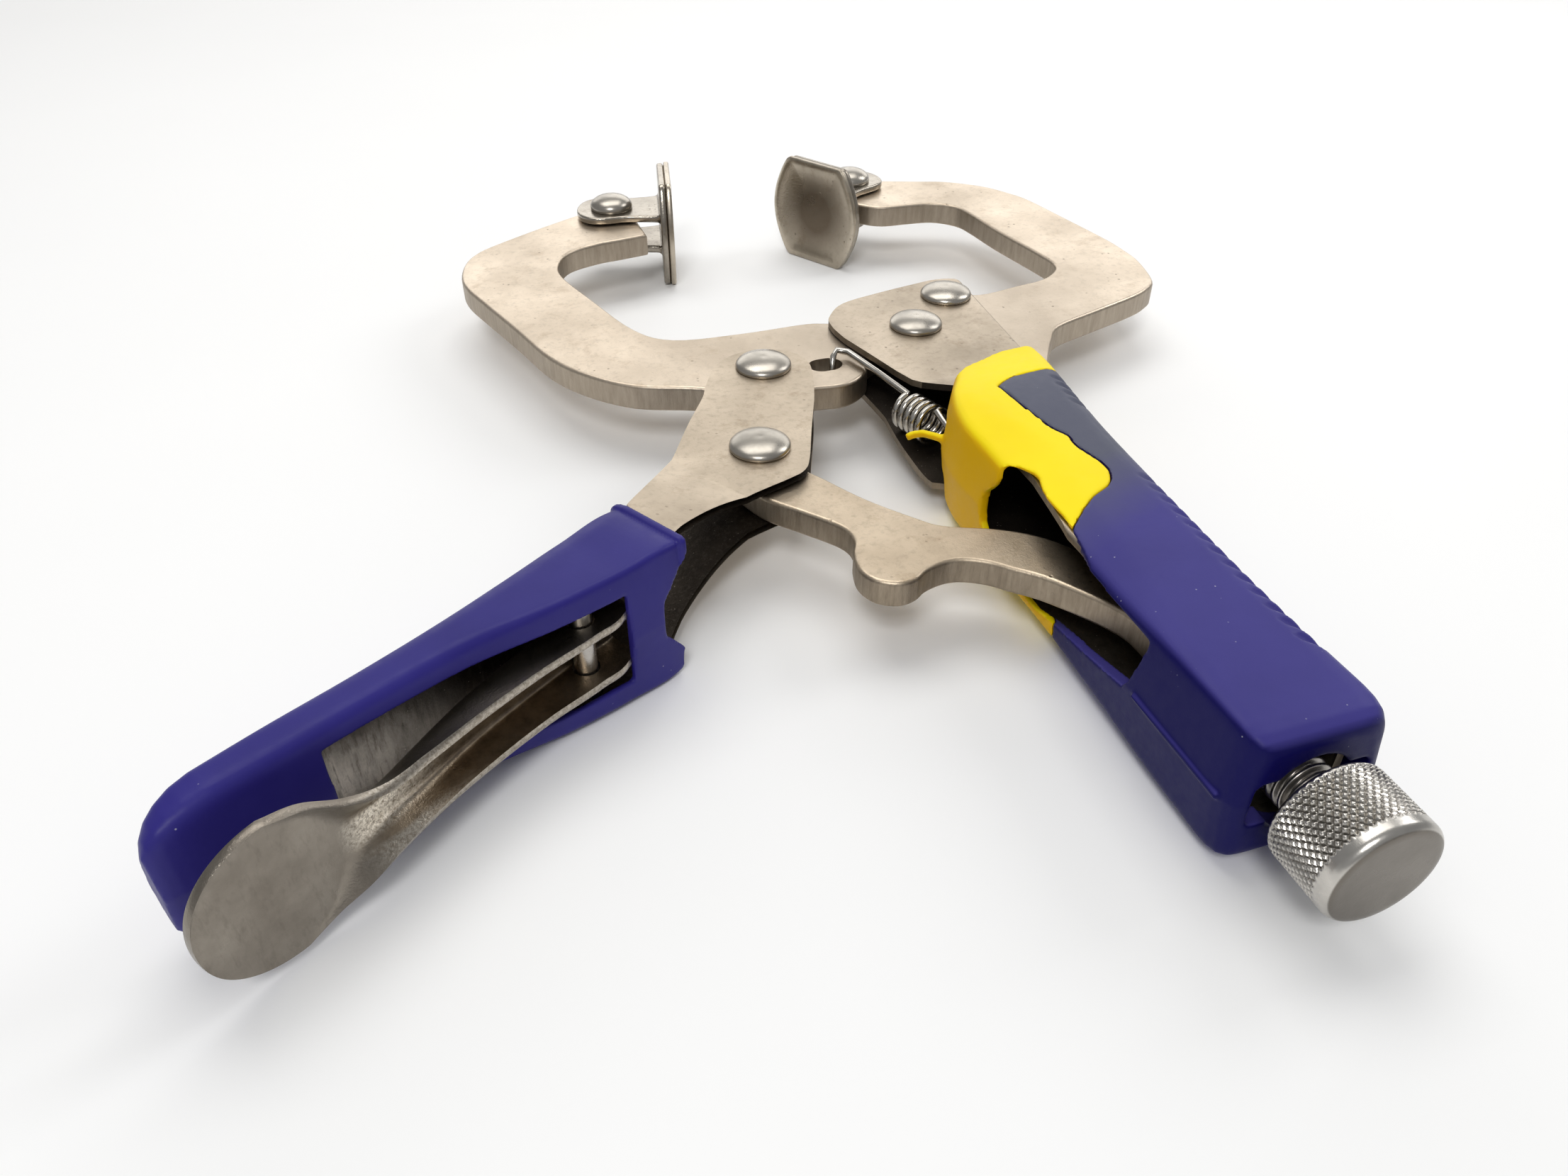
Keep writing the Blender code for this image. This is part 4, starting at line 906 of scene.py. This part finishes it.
def pad(prefix, pivot, facing, body):
    """A dished face on a hemmed backing whose two ears straddle the jaw's tip."""
    turn = Matrix.Translation((*pivot, 0.0)) @ Matrix.Rotation(facing, 4, "Z")
    upright = turn @ Matrix(((0, 0, 1, 0), (1, 0, 0, 0), (0, 1, 0, 0), (0, 0, 0, 1)))
    outline = pad_outline()
    rings = []
    for share, out in ((0.05, -1.15), (0.3, -1.12), (0.55, -1.0), (0.72, -0.72), (0.82, -0.34), (0.88, -0.1),
                       (0.92, 0.0), (0.965, -0.02), (0.99, -0.14), (1.0, -0.4), (1.0, -1.2), (0.985, -1.5),
                       (0.95, -1.6)):
        rings.append([(x * share, y * share, PAD_REACH + out) for x, y in outline])
    for share in (0.7, 0.3, 0.05):
        rings.append([(x * share, y * share, PAD_REACH - 1.6 - (0.9 if share < 0.8 else 0.0))
                      for x, y in outline])
    face = raw(loft(rings))
    face.data.transform(upright)
    # The pad face is painted darker in its middle as painted shade.
    mat = nickel(prefix + "_pad_face_nickel", (0.56, 0.50, 0.41), (0.40, 0.35, 0.28), 0.27, 0.9, False,
                 dish=(pivot, (math.cos(facing), math.sin(facing))))
    piece(face, prefix + "_dished_pad", body, mat, [prefix + "_pad_face"])

    back = raw(plate(inset(outline, 0.25), PAD_REACH - 3.6, PAD_REACH - 1.66, 0.6))
    back.data.transform(upright)
    low = JAW_HALF + 0.35
    for side in (1.0, -1.0):
        ear = [(-4.0, -8.4), (4.0, -7.6), (11.0, -8.2), (15.2, -9.4), (15.2, 9.4), (11.0, 8.2), (4.0, 7.6),
               (-4.0, 8.4), (-8.4, 5.6), (-10.0, 0.0), (-8.4, -5.6)]
        heights = sorted((side * low, side * (low + 2.0)))
        data = plate(smooth(ear, 6, corners=(3, 4)), heights[0], heights[1], 0.4)
        data.transform(turn)
        combine(back, data, "UNION")
        fillet = loft([[(13.0, -8.6, side * low), (13.0, 8.6, side * low), (13.0, 8.6, side * (low + 1.9)),
                        (13.0, -8.6, side * (low + 1.9))],
                       [(14.6, -9.6, side * low), (14.6, 9.6, side * low), (14.6, 9.6, side * (low + 3.4)),
                        (14.6, -9.6, side * (low + 3.4))]])
        fillet.transform(turn)
        combine(back, fillet, "UNION")
    drill(back, pivot, BORE, 32)
    rounded(back, 0.34, 2)
    piece(back, prefix + "_pressed_bracket", body, pad_metal, [prefix + "_pad_bracket"],
          weighted=False)


pad("fixed", FIXED_PAD_PIVOT, math.radians(210.5), "fixed_pad")
pad("moving", MOVING_PAD_PIVOT, math.radians(-12.0), "moving_pad")

# ------------------------------------------------------------------ tension spring

HOOK = (-23.4, -8.9)
COIL_START = Vector((-14.4, -28.8, 0.0))
COIL_DIRECTION = Vector((0.30, -0.954, 0.0)).normalized()
COIL_PITCH, COIL_TURNS, COIL_RADIUS, WIRE = 1.85, 5, 3.75, 0.75
ANCHOR = Vector((-7.5, -54.0, 0.0))


def spring_path():
    across = Vector((COIL_DIRECTION.y, -COIL_DIRECTION.x, 0.0))
    up = Vector((0.0, 0.0, 1.0))
    hook = [(HOOK[0] - 1.4, HOOK[1] - 0.4, -1.2), (HOOK[0] - 1.0, HOOK[1] + 0.2, 1.6),
            (HOOK[0] - 0.3, HOOK[1] + 1.6, 4.0), (HOOK[0] + 1.0, HOOK[1] + 2.9, 4.8),
            (HOOK[0] + 3.4, HOOK[1] + 1.6, 4.5), (-17.0, -18.0, 4.1)]
    points = [Vector(p) for p in hook]
    steps = 32
    for k in range(COIL_TURNS * steps + 1):
        angle = 2 * math.pi * k / steps
        points.append(COIL_START + COIL_DIRECTION * (COIL_PITCH * k / steps)
                      + up * (COIL_RADIUS * math.cos(angle)) + across * (COIL_RADIUS * math.sin(angle)))
    end = COIL_START + COIL_DIRECTION * (COIL_PITCH * COIL_TURNS)
    reach = 1.6 + 0.45 + WIRE
    points.append(end + COIL_DIRECTION * 2.2 + up * 2.6)
    for k in range(15):
        angle = math.radians(165 + 15 * k)
        points.append(ANCHOR + Vector((reach * math.cos(angle), reach * math.sin(angle), 0.6 - 0.075 * k)))
    return points


spring = raw(tube(spring_path(), WIRE, 12))
piece(spring, "coiled_tension_spring", None, spring_metal, ["tension_spring"], weighted=False)
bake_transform(spring)

# ------------------------------------------------------------------ moulded grips


def shell_section(low, high, half, ridge, drop, lean, turn, steps=6):
    """A moulded handle's section: flanks that meet at the mid plane, a flat top, and a facet that drops to one side."""
    ridge = max(ridge, low + 2.6)
    corners = [Vector((high, 0.0)), Vector((high - lean, half)), Vector((ridge, half)),
               Vector((low + 1.5, half - drop)), Vector((low, 0.0))]
    turns = (turn, 1.8, 2.0)
    upper = [corners[0], corners[0].lerp(corners[1], 0.3)]
    for k, reach in enumerate(turns):
        before, corner, after = corners[k:k + 3]
        first = corner + (before - corner).normalized() * min(reach, (before - corner).length * 0.48)
        last = corner + (after - corner).normalized() * min(reach, (after - corner).length * 0.48)
        for step in range(steps + 1):
            t = step / steps
            upper.append(first * (1 - t) ** 2 + corner * 2 * t * (1 - t) + last * t * t)
    upper += [corners[4].lerp(corners[3], 0.3), corners[4]]
    lower = [Vector((p.x, -p.y)) for p in reversed(upper[1:-1])]
    return [(p.x, p.y) for p in upper + lower]


# y, low x, high x, half height, ridge x, drop of the facet, lean of the right flank, its shoulder
GRIP = [(-21.0, -4.0, 21.2, 6.9, 1.0, 0.5, 1.2, 3.0), (-28.0, -5.2, 19.9, 8.8, -1.0, 0.6, 1.6, 3.6),
        (-36.0, -8.6, 18.1, 11.0, -5.0, 0.8, 2.0, 4.5), (-44.0, -13.2, 16.2, 12.4, -9.6, 0.9, 2.2, 4.5),
        (-56.0, -16.4, 14.4, 13.0, -9.0, 1.1, 2.4, 4.5), (-66.0, -16.3, 13.3, 13.0, -5.0, 1.5, 2.4, 4.5),
        (-74.0, -16.3, 12.7, 13.0, -4.6, 1.7, 2.4, 4.5), (-84.0, -16.2, 12.1, 13.0, -6.6, 1.7, 2.4, 4.5),
        (-98.0, -16.2, 11.4, 13.0, -8.3, 1.7, 2.4, 4.5), (-106.0, -16.4, 11.0, 13.0, -9.4, 1.6, 2.4, 4.5),
        (-116.0, -16.6, 10.5, 13.0, -11.2, 1.3, 2.3, 4.5), (-126.0, -16.8, 10.1, 13.0, -13.0, 0.9, 2.2, 4.2),
        (-143.6, -17.0, 10.0, 12.9, -14.4, 0.6, 1.8, 4.0)]
REAR = [(-146.0, 0.10), (-148.0, 0.45), (-149.3, 1.1), (-150.0, 1.9), (-150.4, 3.0)]


def grip_rings():
    stations = through(GRIP, 76)
    y, low, high, half, ridge, *rest = stations[-1]
    for back, pull in REAR:
        stations.append((back, low + pull, high - pull, half - pull, ridge, *rest))
    return [[(x, row[0], z) for x, z in shell_section(*row[1:])] for row in stations]


RIBS = [-86.5 - 3.9 * k for k in range(13)] + [-47.0 - 3.6 * k for k in range(4)]


def rib_grooves():
    """Slanted finger notches over the right shoulder, above and below the mid plane."""
    table = np.array(GRIP)
    for y in RIBS:
        high, half = [np.interp(-y, -table[:, 0], table[:, column]) for column in (2, 3)]
        for sign in (1, -1):
            middle = Vector((high - 3.5, y, sign * (half - 0.2)))
            reach = Vector((4.2, -3.0, sign * -2.7))
            yield tube([middle - reach, middle, middle + reach], 1.35, 10)


lining = [(y, low, high, half) for y, low, high, half in CHANNEL]
lining[0] = (-10.0, -7.0, 19.7, NOSE_HALF)
lining[1] = (-25.0, -7.0, 18.4, NOSE_HALF)
lining[2] = (-31.0, -5.4, 16.5, 6.4)
lining.insert(3, (-36.0, -6.2, 15.0, 8.0))
lining[4] = (-44.0, -10.8, 12.8, 10.0)
sleeve = raw(loft(grip_rings()))
for groove in rib_grooves():
    combine(sleeve, groove)
combine(sleeve, along_y(lining, 1.2, 0.35))
MOUTH = [(SCREW_X + 7.3 * math.sin(a), 7.3 * math.cos(a)) for a in [math.radians(10 * k) for k in range(36)]]
combine(sleeve, loft([[(x, y, z) for x, z in MOUTH] for y in (-130.0, -160.0)]))
combine(sleeve, along_y([(-130.0, -13.6, 6.0, 4.2), (-160.0, -13.6, 6.0, 4.2)], 1.5))
combine(sleeve, prism(inset(JAW_OUTLINE, -0.35), -JAW_HALF - 0.35, JAW_HALF + 0.35))
FRONT_EDGE = [(-30.0, -16.0), (30.0, -16.0), (30.0, -21.0), (18.0, -22.0), (10.0, -23.6), (3.6, -27.6),
              (-2.4, -31.4), (-7.8, -36.2), (-30.0, -36.2)]
LOWER_FRONT = [(-30.0, -30.0), (-4.0, -30.0), (-4.0, -38.0), (-11.0, -48.6), (-30.0, -50.4)]
SPRING_NOTCH = [(-30.0, -30.0), (0.0, -30.0), (0.0, -41.0), (-6.0, -45.0), (-30.0, -45.0)]
WINDOW = [(-40.0, -72.0), (-15.0, -72.0), (-13.2, -72.9), (-11.7, -75.0), (-10.6, -78.2), (-11.7, -82.0),
          (-12.4, -86.0), (-12.6, -93.0), (-14.0, -101.0), (-15.6, -108.0), (-16.9, -115.0), (-17.6, -123.8),
          (-40.0, -123.8)]
combine(sleeve, prism(smooth(FRONT_EDGE, 4, corners=(0, 1, 2, 7, 8)), *THROUGH))
combine(sleeve, prism(LOWER_FRONT, -20.0, -5.4))
combine(sleeve, prism(SPRING_NOTCH, -5.5, 5.5))
combine(sleeve, prism(smooth(WINDOW, 3, corners=(0, 1, 11, 12)), 0.0, 20.0))
SIDE_OPENING = [(-72.4, 10.0), (-72.4, 8.6), (-71.6, 6.6), (-70.0, 4.8), (-68.7, 3.4), (-68.4, 1.6),
                (-68.4, -1.6), (-68.7, -3.4), (-70.0, -4.8), (-71.6, -6.6), (-72.4, -8.6), (-80.0, -9.0), (-91.0, -8.6),
                (-98.0, -6.6), (-108.0, -4.4), (-117.0, -2.2), (-121.0, -1.1), (-122.0, 0.6), (-123.0, 5.0),
                (-123.8, 10.0)]
combine(sleeve, loft([[(x, y, z) for y, z in SIDE_OPENING] for x in (-11.4, -40.0)]))

FRONT_PART = [(-40.0, -10.0), (40.0, -10.0), (40.0, -36.0), (24.0, -38.5), (15.0, -41.0), (8.4, -41.6),
              (3.5, -42.5), (-0.5, -44.4), (-2.6, -46.2), (-2.2, -50.0), (-1.9, -55.0), (-1.4, -60.0),
              (-0.6, -65.0), (0.9, -68.6), (0.5, -72.0), (1.2, -75.6), (2.0, -79.5), (1.6, -82.8),
              (-0.6, -86.1), (-5.0, -88.5), (-9.0, -91.5), (-13.2, -95.2), (-17.5, -98.5), (-40.0, -101.0)]
front = sleeve.copy()
front.data = sleeve.data.copy()
scene.collection.objects.link(front)
BORDER = smooth(FRONT_PART, 4, corners=(0, 1, 2, 8, 23))
combine(front, prism(BORDER, *THROUGH), "INTERSECT")
combine(sleeve, prism(inset(BORDER, -0.10), *THROUGH))
NUB = [(-12.4, -46.5, 1.5), (-14.6, -44.2, 1.8), (-16.4, -41.8, 1.6), (-18.2, -40.4, 0.8), (-19.4, -40.2, 0.2)]
combine(front, tube([Vector(spot) for spot in NUB], 0.85, 12), "UNION")
PARTING_LINE = [(-16.75, -124.5, 0.0), (-16.85, -134.0, 0.0), (-16.95, -147.0, 0.0)]
combine(sleeve, tube([Vector(spot) for spot in PARTING_LINE], 0.55, 8), "UNION")
rounded(front, 0.42, 2)
rounded(sleeve, 0.36, 2)
piece(front, "yellow_grip_front", "fixed_side", yellow_plastic, ["fixed_grip_front"],
      weighted=False)
piece(sleeve, "blue_fixed_grip", "fixed_side", fading_plastic, ["fixed_grip"],
      weighted=False)

# along, outer, inner, half height, ridge, drop of the facet, lean of the inner flank, its shoulder
LEVER_GRIP = [(5.6, 1.0, 19.2, 13.4, 4.6, 0.9, 0.5, 1.0), (7.4, 0.8, 19.4, 13.9, 4.8, 1.0, 0.5, 1.0),
              (20.0, 1.2, 19.2, 14.0, 5.4, 1.2, 0.9, 1.1), (32.0, 2.2, 17.6, 13.9, 6.2, 1.3, 1.0, 1.4),
              (46.0, 3.0, 14.4, 13.6, 6.6, 1.4, 0.7, 2.4), (60.0, 3.2, 13.3, 13.3, 6.6, 1.4, 0.6, 2.6),
              (76.0, 3.0, 13.1, 13.0, 6.2, 1.3, 0.8, 2.8), (86.0, 3.1, 12.9, 12.8, 6.2, 1.3, 1.0, 3.0)]
TAIL = [(89.0, 3.5, 12.8, 12.4), (91.6, 4.2, 12.7, 11.7), (93.6, 5.0, 12.5, 10.7), (95.2, 6.0, 12.1, 9.2),
        (96.2, 7.2, 11.5, 7.4)]
stations = through(LEVER_GRIP, 64)
stations += [(*row, row[1] + 2.8, 1.3, 1.0, 3.0) for row in TAIL]
boot = raw(loft([[(*lever_plan(row[0], across), up) for across, up in shell_section(*row[1:])]
                 for row in stations]))
RIM = [(5.7, 0.3), (5.9, 0.7), (7.0, 0.7), (7.4, 0.0)]
combine(boot, loft([[(*lever_plan(along, across), up) for across, up in
                     shell_section(0.85 - grow, 19.3 + grow, 13.75 + grow, 4.7, 1.0, 0.5, 1.2)]
                    for along, grow in RIM]), "UNION")
SLANT = ((-5.0, 3.0), (5.5, 3.0), (8.0, -15.0), (-5.0, -15.0))
combine(boot, loft([[(*lever_plan(along, across), up) for along, up in SLANT] for across in (-10.0, 30.0)]))
lining = [(along, low, high, half) for along, low, high, half in LEVER if along > 5.0]
lining.insert(0, (-1.0, 3.0, 17.6, 9.6))
combine(boot, along_lever(lining, 1.2, 0.35))
combine(boot, prism([lever_plan(19.0, 9.0), lever_plan(19.0, 40.0), lever_plan(71.0, 40.0),
                     lever_plan(71.0, 9.0)], -9.3, 9.3))
SCALLOP = smooth([(0.0, -12.8), (5.4, -11.8), (7.4, -8.8), (9.9, -5.6), (11.6, -3.2), (11.6, 3.2), (9.9, 5.6),
                  (7.4, 8.8), (5.4, 11.8), (0.0, 12.8)], 4, corners=(0, 9))
combine(boot, loft([[(*lever_plan(along, across), up) for along, up in SCALLOP] for across in (16.6, 40.0)]))
rounded(boot, 0.34, 2)
piece(boot, "blue_lever_grip", "lever_side", blue_plastic, ["lever_grip"], weighted=False)

# ------------------------------------------------------------------ kept CAD pieces

for node, mat in (("screw_nut", nut_metal), ("spring_anchor_pin", rivet_metal)):
    kept = frame["nodes"][node]
    kept.data.materials.clear()
    kept.data.materials.append(mat)

# ------------------------------------------------------------------ floor, light and camera

floor_data = bmesh.new()
bmesh.ops.create_grid(floor_data, x_segments=1, y_segments=1, size=4.0)
floor_mesh = bpy.data.meshes.new("floor")
floor_data.to_mesh(floor_mesh)
floor_data.free()
floor = bpy.data.objects.new("floor", floor_mesh)
scene.collection.objects.link(floor)
paper = Shader("pale_floor")
paper.set(Base_Color=paper.mix(paper.ramp(paper.noise(0.01, 2.0), 0.3, 0.7), rgb(0.955, 0.955, 0.95),
                               rgb(0.965, 0.965, 0.96)), Roughness=0.85)
floor_mesh.materials.append(paper.mat)

world = bpy.data.worlds.new("studio")
scene.world = world
world.use_nodes = True
world.node_tree.nodes["Background"].inputs["Color"].default_value = (0.97, 0.98, 1.0, 1.0)
world.node_tree.nodes["Background"].inputs["Strength"].default_value = 0.32


def softbox(name, spot, target, width, height, power, colour=(1.0, 1.0, 1.0)):
    lamp = bpy.data.lights.new(name, "AREA")
    lamp.shape = "RECTANGLE"
    lamp.size = width
    lamp.size_y = height
    lamp.energy = power
    lamp.color = colour
    made = bpy.data.objects.new(name, lamp)
    made.location = spot
    made.rotation_euler = (Vector(target) - Vector(spot)).to_track_quat("-Z", "Y").to_euler()
    scene.collection.objects.link(made)
    return made


softbox("key", (0.0, 0.30, 0.85), (0.0, 0.0, 0.0), 0.8, 0.5, 3.4, (1.0, 0.985, 0.96))
softbox("back", (0.40, 1.10, 0.45), (0.0, 0.0, 0.0), 2.0, 0.6, 5.6, (1.0, 0.985, 0.96))
softbox("front", (-0.30, -0.60, 0.75), (0.0, 0.0, 0.0), 0.25, 0.25, 3.0)
softbox("side", (0.70, 0.10, 0.55), (0.0, 0.0, 0.0), 0.3, 0.4, 1.3)

camera_data = bpy.data.cameras.new("camera")
camera_data.lens = 27.03
camera_data.sensor_width = 36.0
camera_data.clip_start = 0.01
camera = bpy.data.objects.new("camera", camera_data)
camera.location = ORIGIN + Vector((-113.04, -236.24, 128.4)) * MM
camera.rotation_euler = (math.radians(52.0), 0.0, math.radians(-18.685))
scene.collection.objects.link(camera)
scene.camera = camera
scene.view_settings.view_transform = "Standard"
